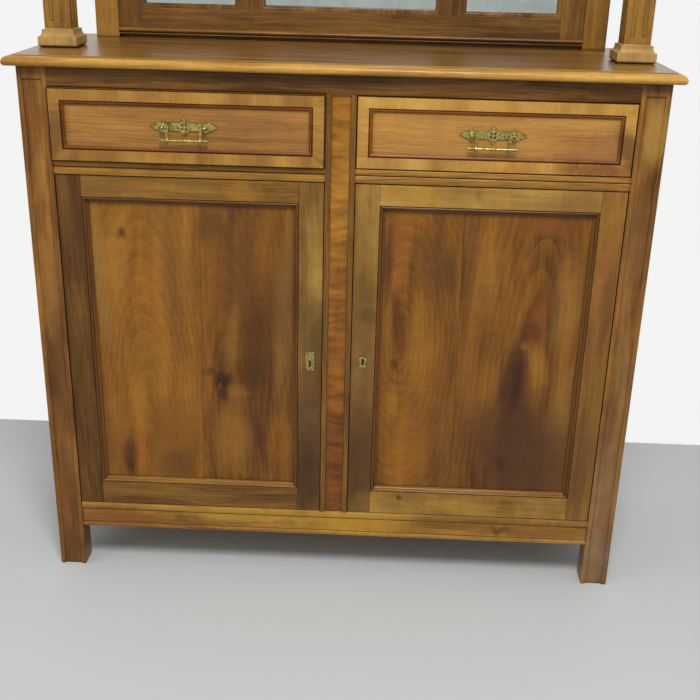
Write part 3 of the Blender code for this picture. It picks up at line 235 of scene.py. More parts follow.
def boardPattern(tree, place, grain, wood):
    # The wood's lightness from 0 to 1, its streaks, its pores and its cross figure
    global boardCount
    boardCount += 1
    turn = {"X": (0, math.pi / 2, 0), "Y": (math.pi / 2, 0, 0), "Z": (0, 0, 0)}[grain]
    shift = (0.37 * boardCount % 5, 0.83 * boardCount % 7, 1.31 * boardCount % 11)
    start = 0.5 + wood["tone"] - 0.5 * (wood["clouds"] + wood["streaks"] + wood["lines"])
    if wood["planks"]:
        axis, low, width, change = wood["planks"]
        part = addNode(tree, "SeparateXYZ", None, {0: place})
        count = addNode(tree, "Math", {"operation": "MULTIPLY_ADD", 1: 1 / width, 2: -low / width},
                        {0: part.outputs[axis]})
        count = addNode(tree, "Math", {"operation": "FLOOR"}, {0: count.outputs[0]})
        cut = addNode(tree, "TexWhiteNoise", {"noise_dimensions": "1D"}, {"W": count.outputs[0]})
        place = addNode(tree, "VectorMath", {"operation": "MULTIPLY_ADD", 1: (3.0, 3.0, 3.0)},
                        {0: cut.outputs["Color"], 2: place}).outputs[0]
        tone = addNode(tree, "Math", {"operation": "MULTIPLY_ADD", 1: change, 2: start - change / 2},
                       {0: cut.outputs["Value"]})
    board = addNode(tree, "Mapping", {"Location": shift, "Rotation": turn}, {"Vector": place}).outputs[0]
    # A slow waver keeps the streaks from running dead straight
    waver = addNode(tree, "TexNoise", {"Scale": 4.5, "Detail": 2.0}, {"Vector": board})
    bent = addNode(tree, "VectorMath", {"operation": "MULTIPLY_ADD", 1: wood["waver"]},
                   {0: waver.outputs["Color"], 2: board}).outputs[0]

    across = 1 / (wood["streakWidth"] * mm)
    along = 1 / (wood["streakLength"] * mm)
    fine = addNode(tree, "Mapping", {"Scale": (across, across, along)}, {"Vector": bent})
    streaks = addNode(tree, "TexNoise", {"Scale": 1.0, "Detail": 4.0, "Roughness": 0.6, "Distortion": 0.2},
                      {"Vector": fine.outputs[0]})
    # Clouds are 6 streaks wide
    wide = addNode(tree, "Mapping", {"Scale": (across / 6, across / 6, along / 1.6)}, {"Vector": bent})
    clouds = addNode(tree, "TexNoise", {"Scale": 1.0, "Detail": 3.0, "Roughness": 0.5},
                     {"Vector": wide.outputs[0]})
    if wood["rings"]:
        x, z, stepX, stepZ, lean = wood["rings"]
        # The rings texture has 20 / (2 pi) rings to the unit. Their centre moves by half of the swirl
        swirl = addNode(tree, "TexNoise", {"Scale": 11.0, "Detail": 2.0}, {"Vector": place})
        swirled = addNode(tree, "VectorMath", {"operation": "MULTIPLY_ADD", 1: wood["swirl"]},
                          {0: swirl.outputs["Color"], 2: place})
        ring = addNode(tree, "Mapping", {"vector_type": "TEXTURE",
                                         "Location": (x + 10 * mm, 0, z + 22 * mm),
                                         "Rotation": (0, math.radians(lean), 0),
                                         "Scale": (stepX * 10 / math.pi, 1.0, stepZ * 10 / math.pi)},
                       {"Vector": swirled.outputs[0]})
        lines = addNode(tree, "TexWave", {"wave_type": "RINGS", "rings_direction": "Y",
                                          "wave_profile": "SAW", "Scale": 1.0, "Distortion": 0.6,
                                          "Detail": 2.0, "Detail Scale": 3.0},
                        {"Vector": ring.outputs[0]})
    else:
        packed = 0.4 / (wood["lineStep"] * mm)
        ring = addNode(tree, "Mapping", {"Scale": (packed, packed, 0.35)}, {"Vector": bent})
        lines = addNode(tree, "TexWave", {"wave_profile": "SAW", "Scale": 1.0, "Distortion": 3.0,
                                          "Detail": 2.0, "Detail Scale": 0.6},
                        {"Vector": ring.outputs[0]})

    value = addNode(tree, "Math", {"operation": "MULTIPLY_ADD", 1: wood["clouds"], 2: start},
                    {0: clouds.outputs["Fac"]})
    if wood["planks"]:
        tree.links.new(tone.outputs[0], value.inputs[2])
    value = addNode(tree, "Math", {"operation": "MULTIPLY_ADD", 1: wood["streaks"]},
                    {0: streaks.outputs["Fac"], 2: value.outputs[0]})
    value = addNode(tree, "Math", {"operation": "MULTIPLY_ADD", 1: wood["lines"]},
                    {0: lines.outputs["Fac"], 2: value.outputs[0]})

    # Cross figure, as light and dark bars that waver across the grain
    size = 1 / (wood["figureWidth"] * mm)
    ripple = addNode(tree, "TexNoise", {"Scale": 16.0}, {"Vector": board})
    curled = addNode(tree, "VectorMath", {"operation": "MULTIPLY_ADD", 1: wood["ripple"]},
                     {0: ripple.outputs["Color"], 2: board})
    bars = addNode(tree, "Mapping", {"Scale": (size, size, 1 / (wood["figureStep"] * mm))},
                   {"Vector": curled.outputs[0]})
    figure = addNode(tree, "TexNoise", {"Scale": 1.0, "Detail": 2.0, "Roughness": 0.55},
                     {"Vector": bars.outputs[0]})
    shade = addNode(tree, "MapRange", {"From Min": 0.3, "From Max": 0.7, "To Min": 1 - wood["figure"],
                                       "To Max": 1 + wood["figure"]}, {"Value": figure.outputs["Fac"]})

    # Pores, as short dark dashes that follow the grain
    thin = 1 / (wood["poreWidth"] * mm)
    dash = addNode(tree, "Mapping", {"Scale": (thin, thin, 1 / (wood["poreLength"] * mm))}, {"Vector": bent})
    pores = addNode(tree, "TexNoise", {"Scale": 1.0, "Detail": 2.0}, {"Vector": dash.outputs[0]})
    return {"value": value.outputs[0], "streaks": streaks.outputs["Fac"], "pores": pores.outputs["Fac"],
            "shade": shade.outputs[0]}


def blendPatterns(tree, mask, first, second):
    # The first pattern where the mask is 0, the second where it is 1
    return {key: addNode(tree, "Mix", None, {0: mask, 2: first[key], 3: second[key]}).outputs[0]
            for key in first}


stains = {
    "grain": (42, 42, 9),                # tufts of the edge to the metre: 24 mm wide, 110 mm high
    "ragged": (24 * mm, 0, 50 * mm),     # how far the edge strays
    "deep": 50,                          # metres, so a stain is the same at any depth
}


def addMarks(tree, place, colour, marks):
    # Soft, ragged oval stains in the plane of the front: knots, flames and pale bands
    if not marks:
        return colour
    drawn = addNode(tree, "Mapping", {"Scale": stains["grain"]}, {"Vector": place})
    ragged = addNode(tree, "TexNoise", {"Scale": 1.0, "Detail": 5.0, "Roughness": 0.7},
                     {"Vector": drawn.outputs[0]})
    moved = addNode(tree, "VectorMath", {"operation": "MULTIPLY_ADD", 1: stains["ragged"]},
                    {0: ragged.outputs["Color"], 2: place})
    centred = tuple(reach / 2 for reach in stains["ragged"])
    moved = addNode(tree, "VectorMath", {"operation": "SUBTRACT", 1: centred}, {0: moved.outputs[0]})
    for x, z, wide, high, lean, amount, stain in marks:
        spot = addNode(tree, "Mapping", {"vector_type": "TEXTURE", "Location": (x, 0, z),
                                         "Rotation": (0, math.radians(lean), 0),
                                         "Scale": (wide, stains["deep"], high)},
                       {"Vector": moved.outputs[0]})
        fade = addNode(tree, "TexGradient", {"gradient_type": "SPHERICAL"}, {"Vector": spot.outputs[0]})
        mask = addNode(tree, "MapRange", {"interpolation_type": "SMOOTHSTEP", "From Max": 0.75,
                                          "To Max": amount}, {"Value": fade.outputs["Fac"]})
        stained = addNode(tree, "Mix", {"data_type": "RGBA", 7: hexColour(stain)},
                          {0: mask.outputs[0], 6: colour})
        colour = stained.outputs[2]
    return colour


def waxFinish(tree, shader, colour, pattern, wood):
    # Pores and cross figure darken the colour, and painted shade darkens the corners of mouldings; wax gives
    # a low, soft sheen
    openPores = addNode(tree, "MapRange", {"From Min": 0.32, "From Max": 0.48, "To Min": 1 - wood["pores"],
                                           "To Max": 1.0}, {"Value": pattern["pores"]})
    level = addNode(tree, "Math", {"operation": "MULTIPLY"}, {0: pattern["shade"], 1: openPores.outputs[0]})
    # Painted shade: ambient occlusion darkens the colour in corners and hollows
    corner = addNode(tree, "AmbientOcclusion", {"samples": 4, "Distance": wood["cornerShadeReach"]})
    paintedCornerShade = addNode(tree, "MapRange", {"From Min": 0.25, "From Max": 0.85, "To Min": 1 - wood["cornerShade"],
                                       "To Max": 1.0}, {"Value": corner.outputs["AO"]})
    level = addNode(tree, "Math", {"operation": "MULTIPLY"}, {0: level.outputs[0], 1: paintedCornerShade.outputs[0]})
    lit = addNode(tree, "VectorMath", {"operation": "SCALE"}, {0: colour, "Scale": level.outputs[0]})
    tree.links.new(lit.outputs[0], shader.inputs["Base Color"])
    gloss = addNode(tree, "MapRange", {"From Min": 0.3, "From Max": 0.7, "To Min": wood["rough"] + 0.06,
                                       "To Max": wood["rough"] - 0.04}, {"Value": pattern["streaks"]})
    tree.links.new(gloss.outputs[0], shader.inputs["Roughness"])
    shader.inputs["Specular IOR Level"].default_value = wood["shine"]
    shader.inputs["Coat Weight"].default_value = wood["wax"]
    shader.inputs["Coat Roughness"].default_value = wood["waxRough"]
    relief = addNode(tree, "Bump", {"Strength": 0.3, "Distance": wood["relief"]},
                     {"Height": pattern["pores"]})
    tree.links.new(relief.outputs[0], shader.inputs["Normal"])


def waxedWood(name, grain="Z", **changes):
    # Wax on walnut: brown streaks and darker pores under a soft, low sheen
    wood = dict(walnut, **changes)
    material, tree, shader = newMaterial(name)
    place = addNode(tree, "TexCoord").outputs["Object"]
    pattern = boardPattern(tree, place, grain, wood)
    ramp = addNode(tree, "ValToRGB", {"stops": wood["stops"]}, {"Fac": pattern["value"]})
    colour = addMarks(tree, place, ramp.outputs["Color"], wood["marks"])
    waxFinish(tree, shader, colour, pattern, wood)
    return material


def joinedWood(name, rails, **changes):
    # Waxed walnut framing: upright grain, with level grain in the rails and a dark line at each joint
    wood = dict(walnut, **changes)
    material, tree, shader = newMaterial(name)
    place = addNode(tree, "TexCoord").outputs["Object"]
    part = addNode(tree, "SeparateXYZ", None, {0: place})
    masks = []
    for spare in (0.0, wood["jointLine"]):
        total = None
        for axis, start, end, low, high in rails:
            inside = addNode(tree, "Math", {"operation": "COMPARE", 1: (start + end) / 2,
                                            2: (end - start) / 2 + spare}, {0: part.outputs[axis]})
            level = addNode(tree, "Math", {"operation": "COMPARE", 1: (low + high) / 2,
                                           2: (high - low) / 2}, {0: part.outputs["Z"]})
            both = addNode(tree, "Math", {"operation": "MULTIPLY"},
                           {0: inside.outputs[0], 1: level.outputs[0]})
            if total:
                both = addNode(tree, "Math", {"operation": "MAXIMUM"}, {0: both.outputs[0], 1: total})
            total = both.outputs[0]
        masks.append(total)
    upright = boardPattern(tree, place, "Z", wood)
    level = boardPattern(tree, place, rails[0][0], wood)
    pattern = blendPatterns(tree, masks[0], upright, level)
    seam = addNode(tree, "Math", {"operation": "SUBTRACT"}, {0: masks[1], 1: masks[0]})
    dark = addNode(tree, "MapRange", {"To Min": 1.0, "To Max": 0.45}, {"Value": seam.outputs[0]})
    shade = addNode(tree, "Math", {"operation": "MULTIPLY"}, {0: pattern["shade"], 1: dark.outputs[0]})
    ramp = addNode(tree, "ValToRGB", {"stops": wood["stops"]}, {"Fac": pattern["value"]})
    waxFinish(tree, shader, ramp.outputs["Color"], dict(pattern, shade=shade.outputs[0]), wood)
    return material


# Rounding the arrises of each CAD piece, as sandpaper and use have done
easing = {
    "wood": 0.3 * mm,
    "doorFrame": 0.25 * mm,
    "metal": 0.15 * mm,
    "steps": 2,
    "from": 38,              # degrees; edges sharper than this are eased
    "shortest": 0.5 * mm,    # shorter edges stay as they are
    "merge": 0.002 * mm,
    "flat": 0.5,             # degrees; faces closer to flat than this become one
}


def finishPiece(bm, name, node, materials, smoothAngle):
    mesh = bpy.data.meshes.new(name)
    bm.to_mesh(mesh)
    bm.free()
    for material in materials:
        mesh.materials.append(material)
    mesh.shade_smooth()
    mesh.set_sharp_from_angle(angle=math.radians(smoothAngle))
    piece = bpy.data.objects.new(name, mesh)
    bpy.context.scene.collection.objects.link(piece)
    even = piece.modifiers.new("even shading", "WEIGHTED_NORMAL")
    even.keep_sharp = True
    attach(piece, bodyOf[node])
    return piece


def easedPiece(node, materials, radius=None, choose=None, smoothAngle=40):
    # A merged copy of a CAD piece with eased edges; choose picks a face's material by its place
    bm = bmesh.new()
    bm.from_mesh(nodes[node].data)
    bmesh.ops.remove_doubles(bm, verts=bm.verts, dist=easing["merge"])
    if choose:
        for face in bm.faces:
            face.material_index = choose(face.calc_center_median(), face.normal)
    bmesh.ops.dissolve_limit(bm, angle_limit=math.radians(easing["flat"]), verts=bm.verts, edges=bm.edges,
                             delimit={"MATERIAL"})
    sharp = [edge for edge in bm.edges if edge.is_manifold
             and edge.calc_face_angle() > math.radians(easing["from"])
             and edge.calc_length() > easing["shortest"]]
    bmesh.ops.bevel(bm, geom=sharp, offset=radius or easing["wood"], segments=easing["steps"], profile=0.5,
                    affect="EDGES", clamp_overlap=False, material=-1, loop_slide=True)
    piece = finishPiece(bm, node + "_eased", node, materials, smoothAngle)
    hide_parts(node)
    return piece


# Carcass
paleStops = [(0.0, "4c3216"), (0.3, "7c5a2c"), (0.5, "9c7840"), (0.75, "b89456"), (1.0, "ccac6c")]
goldStops = [(0.0, "4a2d10"), (0.3, "7a5120"), (0.5, "9a6d2b"), (0.75, "b7893c"), (1.0, "caa151")]
carcass = {
    "posts": {
        "front_left": [(-0.52, 0.30, 0.05, 0.30, 0, 0.2, "6a4620"),
                       (-0.53, 0.42, 0.022, 0.10, 4, 0.5, "4a2d14"),
                       (-0.51, 0.25, 0.018, 0.07, -6, 0.45, "9a6a34"),
                       (-0.53, 0.13, 0.02, 0.08, 5, 0.5, "7c4322"),
                       (-0.52, 0.04, 0.04, 0.06, 0, 0.5, "5c3420"),
                       (-0.52, 0.60, 0.02, 0.12, 3, 0.5, "8f6430"),
                       (-0.525, 0.89, 0.02, 0.07, 0, 0.5, "6e4420"),
                       (-0.53, 0.73, 0.015, 0.06, 3, 0.45, "5e3a1c"),
                       (-0.515, 0.51, 0.02, 0.06, 0, 0.45, "6c4220")],
        "front_right": [(0.532, 0.90, 0.028, 0.09, 0, 0.80, "a67f3c"),
                        (0.52, 0.72, 0.05, 0.13, 0, 0.45, "74502a"),
                        (0.51, 0.62, 0.02, 0.12, 0, 0.45, "9c6c36"),
                        (0.53, 0.45, 0.02, 0.14, -4, 0.4, "a27c48"),
                        (0.52, 0.20, 0.05, 0.22, 0, 0.55, "86684a"),
                        (0.52, 0.05, 0.05, 0.10, 0, 0.6, "8a7056"),
                        (0.53, 0.76, 0.014, 0.07, 0, 0.45, "6e4a26"),
                        (0.515, 0.33, 0.014, 0.10, 0, 0.4, "6a4828")],
        "back_left": [], "back_right": [],
    },
    "postStops": [(0.0, "33190b"), (0.3, "5c3613"), (0.5, "784d22"), (0.75, "96672a"), (1.0, "ae803c")],
    "bottomRail": [(-0.45, 0.11, 0.12, 0.04, 0, 0.6, "80481f"),
                   (-0.30, 0.118, 0.02, 0.012, 0, 0.6, "5f3c18"),
                   (-0.16, 0.13, 0.18, 0.03, 0, 0.7, "b88e34"), (0.05, 0.12, 0.16, 0.04, 0, 0.7, "bf9030"),
                   (0.20, 0.12, 0.08, 0.04, 0, 0.4, "8c6028"), (0.36, 0.12, 0.18, 0.04, 0, 0.65, "7d5226"),
                   (0.33, 0.115, 0.03, 0.012, 0, 0.6, "4a2e16")],
    "sideBorder": 62 * mm,   # width of the side panels' rails
    "topPlanks": ("Y", -0.2, 0.134, 0.14),
    "topLevel": 0.97,        # least upward share of a normal on the flat of the top
    "topBack": 0.19,         # the back edge behind this isn't golden
}


def topPick(centre, normal):
    # The moulded edge of the top is golden, its flat and its back edge are brown
    return 1 if abs(normal.z) < carcass["topLevel"] and centre.y < carcass["topBack"] else 0


for spot in ("front_left", "front_right", "back_left", "back_right"):
    easedPiece("post_" + spot, [waxedWood(
        "waxed walnut post " + spot.replace("_", " "), stops=carcass["postStops"], tone=0.08, clouds=1.1,
        streaks=0.6, lines=0.12, figure=0.12, figureStep=34.0, figureWidth=24.0,
        marks=carcass["posts"][spot])])
for side in ("left", "right"):
    low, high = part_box("side_panel_" + side)
    border = carcass["sideBorder"]
    easedPiece("side_panel_" + side, [joinedWood("waxed walnut side " + side, [
        ("Y", low.y + border, high.y - border, high.z - border, high.z + mm),
        ("Y", low.y + border, high.y - border, low.z - mm, low.z + border)], tone=0.06)])
    easedPiece("mid_rail_" + side, [waxedWood("golden walnut drawer rail " + side, "X", stops=goldStops,
                                              tone=-0.05, streakWidth=4.0, clouds=0.6)])
easedPiece("top_rail", [waxedWood("waxed walnut top rail", "X", tone=-0.14, clouds=1.0)])
easedPiece("bottom_rail", [waxedWood("golden walnut bottom rail", "X", stops=goldStops, streakWidth=5.0,
                                     marks=carcass["bottomRail"])])
easedPiece("top_board", [
    waxedWood("waxed walnut top", "X", tone=0.06, streakLength=320.0, rough=0.30, shine=0.35, wax=0.16,
              planks=carcass["topPlanks"]),
    waxedWood("golden walnut top edge", "X", stops=goldStops, tone=0.14, clouds=1.0, streakWidth=4.0,
              rough=0.32)], choose=topPick)
easedPiece("stage_shelf", [waxedWood("waxed walnut stage shelf", "X", tone=0.08)])

# Fiddleback walnut: orange bars across the grain, from the ripple in the tree's trunk
stile = {
    "stops": [(0.0, "3c200c"), (0.3, "6a3e15"), (0.5, "87561c"), (0.75, "a66f25"), (1.0, "c28932")],
    "marks": [(0.0, 0.92, 0.05, 0.08, 0, 0.55, "8a5612"), (0.0, 0.78, 0.06, 0.16, 0, 0.50, "b47e2c"),
              (0.0, 0.45, 0.06, 0.18, 0, 0.30, "7c441a"), (0.0, 0.24, 0.06, 0.20, 0, 0.70, "633418")],
    "field": 17.6 * mm,      # half the width of the figured strip
    "flank": 0.2,            # faces turned further to the side belong to the edge
}


def stilePick(centre, normal):
    return 1 if abs(centre.x) > stile["field"] or abs(normal.x) > stile["flank"] else 0


easedPiece("centre_stile", [
    waxedWood("fiddleback walnut stile", stops=stile["stops"], clouds=0.6, streaks=0.2, lines=0.02,
              figure=0.38, figureStep=11.0, pores=0.14, marks=stile["marks"]),
    waxedWood("waxed walnut stile edge", tone=0.02)], choose=stilePick)
print("carcass done")


# Doors
oliveStops = [(0.0, "3c2811"), (0.3, "65471d"), (0.5, "87642b"), (0.75, "a27b39"), (1.0, "b89149")]
doorGoldStops = [(0.0, "3f2a12"), (0.3, "6d491d"), (0.5, "8c6329"), (0.75, "a87d37"), (1.0, "bd944a")]
burr = dict(stops=oliveStops, streaks=0.30, clouds=1.1, figure=0.13, figureStep=30.0, figureWidth=22.0)
doorMoulding = {
    "stops": [(0.0, "2c1808"), (0.4, "54320e"), (0.7, "784d17"), (1.0, "a2742a")],
    "paintedHighlight": {"bottom_rail": 0.30},       # painted highlight: the lower moulding faces up to the light and is painted lighter
    "width": 5.2 * mm,
    "sunk": 1 * mm,          # faces further behind the panel's front aren't moulding
}
doors = {
    "left_hinge_stile": {"tone": -0.14, "streaks": 0.45, "marks": [
        (-0.47, 0.70, 0.04, 0.12, 0, 0.3, "5e3c20")]},
    # The large dark marks low on this stile make it darker towards the bottom
    "left_lock_stile": {**burr, "marks": [
        (-0.045, 0.53, 0.06, 0.08, 8, 0.60, "5e4724"), (-0.035, 0.62, 0.02, 0.05, 0, 0.4, "b4924a"),
        (-0.05, 0.30, 0.07, 0.26, 0, 0.80, "52361f"), (-0.05, 0.22, 0.05, 0.12, 0, 0.6, "40291a"),
        (-0.045, 0.345, 0.03, 0.03, -10, 0.35, "6a5028")]},
    "left_top_rail": {"tone": 0.10, "marks": [(-0.17, 0.775, 0.05, 0.03, 0, 0.5, "a8762a"),
                                              (-0.40, 0.78, 0.08, 0.03, 0, 0.4, "6c4826")]},
    "left_bottom_rail": {"tone": 0.02, "streakWidth": 5.0},
    "right_hinge_stile": {"tone": 0.16, "marks": [
        (0.47, 0.5, 0.09, 0.5, 0, 0.35, "7a4a24"), (0.472, 0.66, 0.014, 0.13, 7, 0.55, "9a602b"),
        (0.465, 0.25, 0.05, 0.16, 0, 0.5, "553824")]},
    # The large dark marks low on this stile make it darker towards the bottom
    "right_lock_stile": {**burr, "marks": [
        (0.045, 0.60, 0.04, 0.06, 0, 0.55, "6f5526"), (0.055, 0.555, 0.03, 0.025, 20, 0.75, "4a3a1e"),
        (0.05, 0.38, 0.10, 0.42, 0, 0.70, "6e4a22"), (0.05, 0.24, 0.06, 0.20, 0, 0.75, "4e341d"),
        (0.06, 0.16, 0.04, 0.04, 30, 0.45, "8a6630")]},
    "right_top_rail": {"stops": oliveStops, "tone": 0.20, "figure": 0.12, "figureStep": 30.0, "marks": [
        (0.12, 0.785, 0.10, 0.03, 0, 0.5, "b68a34"), (0.38, 0.775, 0.09, 0.03, 0, 0.45, "7e6230"),
        (0.245, 0.78, 0.012, 0.02, 0, 0.5, "6a5224"), (0.425, 0.775, 0.07, 0.04, 0, 0.75, "8a5f2e")]},
    "right_bottom_rail": {"stops": doorGoldStops, "tone": 0.08, "figure": 0.14, "figureStep": 26.0, "marks": [
        (0.13, 0.17, 0.06, 0.04, 0, 0.4, "7c5a28"), (0.26, 0.165, 0.09, 0.03, 0, 0.5, "a87e34"),
        (0.128, 0.178, 0.006, 0.008, 0, 0.8, "3c2410"), (0.39, 0.17, 0.06, 0.03, 0, 0.35, "ad8440")]},
}


def mouldingPick(side):
    # Faces between the panel's sight line and the flat of the frame are moulding
    low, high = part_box("door_" + side + "_panel")
    spare = doorMoulding["width"]

    def pick(centre, normal):
        across = low.x - spare < centre.x < high.x + spare
        upright = low.z - spare < centre.z < high.z + spare
        return 1 if across and upright and centre.y < low.y + doorMoulding["sunk"] else 0
    return pick


for side in ("left", "right"):
    for member, grain in (("hinge_stile", "Z"), ("lock_stile", "Z"), ("top_rail", "X"), ("bottom_rail", "X")):
        words = side + " door " + member.replace("_", " ")
        easedPiece("door_" + side + "_" + member, [
            waxedWood("waxed walnut " + words, grain, **doors[side + "_" + member]),
            # The bottom rail's moulding gets a lighter tone, a painted highlight
            waxedWood("dark walnut moulding " + words, grain, stops=doorMoulding["stops"],
                      tone=doorMoulding["paintedHighlight"].get(member, 0.0), clouds=0.4, streaks=0.4, rough=0.34,
                      shine=0.26, wax=0.10)],
            easing["doorFrame"], mouldingPick(side))

# Each door panel is two figured boards, glued edge to edge
panelStops = [(0.0, "2c160b"), (0.22, "563213"), (0.45, "7b4e18"), (0.7, "98631f"), (1.0, "b68330")]
panels = {
    "left": {
        "joint": (-0.2577, 0.0129),      # x at the floor, and the lean as metres across per metre up
        "boards": (
            {"tone": 0.02, "rings": (-0.357, 0.250, 0.008, 0.036, 0), "lines": 0.12, "clouds": 0.75,
             "streaks": 0.26},
            {"tone": -0.10, "rings": (-0.185, 0.30, 0.010, 0.050, -6), "lines": 0.09, "clouds": 0.85,
             "streaks": 0.30}),
        "marks": [
            # left board
            (-0.398, 0.66, 0.030, 0.13, 5, 0.55, "a3742c"), (-0.432, 0.62, 0.022, 0.20, -3, 0.45, "94703a"),
            (-0.390, 0.691, 0.015, 0.015, 0, 0.9, "5a3512"), (-0.30, 0.66, 0.07, 0.16, 0, 0.30, "86602c"),
            (-0.35, 0.44, 0.07, 0.12, 0, 0.35, "a06c22"), (-0.372, 0.35, 0.030, 0.09, -6, 0.5, "ab7324"),
            (-0.31, 0.29, 0.08, 0.12, 0, 0.5, "73481c"), (-0.31, 0.23, 0.06, 0.05, 0, 0.55, "5c3a1c"),
            (-0.43, 0.26, 0.04, 0.10, 0, 0.4, "6e441c"), (-0.375, 0.255, 0.018, 0.07, -4, 0.6, "9c5a22"),
            (-0.399, 0.245, 0.022, 0.065, 4, 0.80, "4e2c12"),
            (-0.399, 0.222, 0.016, 0.03, 0, 0.7, "3c2412"),
            # right board
            (-0.225, 0.715, 0.045, 0.05, 0, 0.55, "573a1c"), (-0.16, 0.69, 0.09, 0.07, 0, 0.45, "6b441e"),
            (-0.180, 0.600, 0.085, 0.11, 0, 0.55, "663f1a"), (-0.100, 0.55, 0.030, 0.22, 2, 0.45, "86602e"),
            (-0.145, 0.50, 0.048, 0.12, 9, 0.72, "4e2f10"),
            (-0.165, 0.425, 0.050, 0.060, 14, 0.72, "482b10"),
            (-0.150, 0.35, 0.035, 0.10, -5, 0.5, "5a3618"), (-0.195, 0.50, 0.016, 0.10, 8, 0.45, "8c6028"),
            (-0.186, 0.392, 0.030, 0.018, -20, 0.50, "87602a"),
            (-0.197, 0.29, 0.050, 0.09, 0, 0.55, "94662c"),
            (-0.145, 0.29, 0.014, 0.075, -10, 0.75, "4f2816"),
            (-0.135, 0.245, 0.03, 0.035, 0, 0.4, "5c3216"),
            (-0.215, 0.412, 0.026, 0.024, 0, 0.95, "2e1a10"),
            (-0.212, 0.386, 0.014, 0.030, -8, 0.8, "3a2012"),
            (-0.222, 0.425, 0.040, 0.012, 15, 0.7, "462812"),
            (-0.220, 0.403, 0.006, 0.010, 0, 0.4, "7a5a30")],
    },
    "right": {
        "joint": (0.2281, -0.0101),
        "boards": (
            {"tone": -0.04, "rings": (0.116, 0.500, 0.009, 0.025, 0), "lines": 0.11, "clouds": 0.75,
             "streaks": 0.26},
            {"tone": -0.10, "rings": (0.352, 0.40, 0.011, 0.063, 3), "lines": 0.11, "clouds": 0.85,
             "streaks": 0.30}),
        "marks": [
            # left board
            (0.090, 0.66, 0.020, 0.12, 3, 0.70, "4a2a16"), (0.105, 0.70, 0.018, 0.10, -4, 0.6, "8a5220"),
            (0.170, 0.66, 0.050, 0.09, 0, 0.60, "5f3c1c"), (0.203, 0.635, 0.020, 0.07, 0, 0.6, "4c2e16"),
            (0.110, 0.545, 0.016, 0.090, -5, 0.80, "5a3012"),
            (0.118, 0.505, 0.017, 0.045, 0, 0.5, "6c3c16"), (0.110, 0.457, 0.012, 0.016, 0, 0.9, "5c2c10"),
            (0.150, 0.50, 0.03, 0.14, 0, 0.4, "a06e24"), (0.142, 0.29, 0.060, 0.12, 0, 0.45, "9a6420"),
            (0.19, 0.34, 0.04, 0.16, 0, 0.35, "7c5020"), (0.105, 0.38, 0.018, 0.05, 0, 0.4, "a8742a"),
            (0.20, 0.24, 0.03, 0.06, 0, 0.4, "6a4220"),
            # right board
            (0.265, 0.62, 0.040, 0.13, 0, 0.45, "94662a"), (0.235, 0.68, 0.020, 0.10, 0, 0.4, "6a4420"),
            (0.365, 0.735, 0.070, 0.030, 0, 0.6, "7e4a1e"), (0.416, 0.58, 0.035, 0.13, 0, 0.5, "946a30"),
            (0.425, 0.36, 0.030, 0.16, 3, 0.45, "8a6530"), (0.25, 0.45, 0.03, 0.14, 0, 0.35, "7c5226"),
            (0.300, 0.33, 0.075, 0.10, 0, 0.80, "5c3c1e"), (0.355, 0.26, 0.110, 0.14, 0, 0.85, "50321c"),
            (0.345, 0.34, 0.055, 0.16, -4, 0.80, "4e2f1a"), (0.330, 0.435, 0.034, 0.10, 4, 0.85, "472916"),
            (0.350, 0.545, 0.014, 0.125, 12, 0.85, "54300f"),
            (0.368, 0.565, 0.024, 0.07, 8, 0.60, "7a461c"), (0.362, 0.525, 0.024, 0.045, 0, 0.7, "5c2f14"),
            (0.375, 0.465, 0.024, 0.060, -12, 0.50, "94662a"),
            (0.345, 0.500, 0.008, 0.012, 0, 0.5, "8a6030"), (0.338, 0.43, 0.010, 0.08, 4, 0.55, "341f0e"),
            (0.395, 0.27, 0.075, 0.14, 0, 0.70, "573820"), (0.320, 0.265, 0.018, 0.020, 0, 0.55, "3a2014"),
            (0.440, 0.669, 0.014, 0.010, 0, 0.8, "6c4a1c"), (0.315, 0.685, 0.010, 0.009, 0, 0.6, "6a4018")],
    },
}


def panelWood(name, panel):
    # Flat-sawn walnut under wax: amber arches, dark flames and a knot, with a hairline glue joint
    wood = dict(walnut, cornerShade=0.75, streakWidth=5.0, streakLength=130.0, figure=0.07, figureStep=12.0,
                figureWidth=34.0, pores=0.15)
    material, tree, shader = newMaterial(name)
    place = addNode(tree, "TexCoord").outputs["Object"]
    first, second = (boardPattern(tree, place, "Z", dict(wood, **board)) for board in panel["boards"])
    part = addNode(tree, "SeparateXYZ", None, {0: place})
    foot, lean = panel["joint"]
    past = addNode(tree, "Math", {"operation": "MULTIPLY_ADD", 1: -lean},
                   {0: part.outputs["Z"], 2: part.outputs["X"]})
    past = addNode(tree, "Math", {"operation": "SUBTRACT", 1: foot}, {0: past.outputs[0]})
    onSecond = addNode(tree, "Math", {"operation": "GREATER_THAN", 1: 0.0}, {0: past.outputs[0]})
    pattern = blendPatterns(tree, onSecond.outputs[0], first, second)
    ramp = addNode(tree, "ValToRGB", {"stops": panelStops}, {"Fac": pattern["value"]})
    colour = addMarks(tree, place, ramp.outputs["Color"], panel["marks"])
    away = addNode(tree, "Math", {"operation": "ABSOLUTE"}, {0: past.outputs[0]})
    joint = addNode(tree, "MapRange", {"From Max": 1.6 * mm, "To Min": 0.62, "To Max": 1.0},
                    {"Value": away.outputs[0]})
    shade = addNode(tree, "Math", {"operation": "MULTIPLY"}, {0: pattern["shade"], 1: joint.outputs[0]})
    waxFinish(tree, shader, colour, dict(pattern, shade=shade.outputs[0]), wood)
    return material


for side in ("left", "right"):
    easedPiece("door_" + side + "_panel", [panelWood("figured walnut panel " + side, panels[side])])
print("doors done")


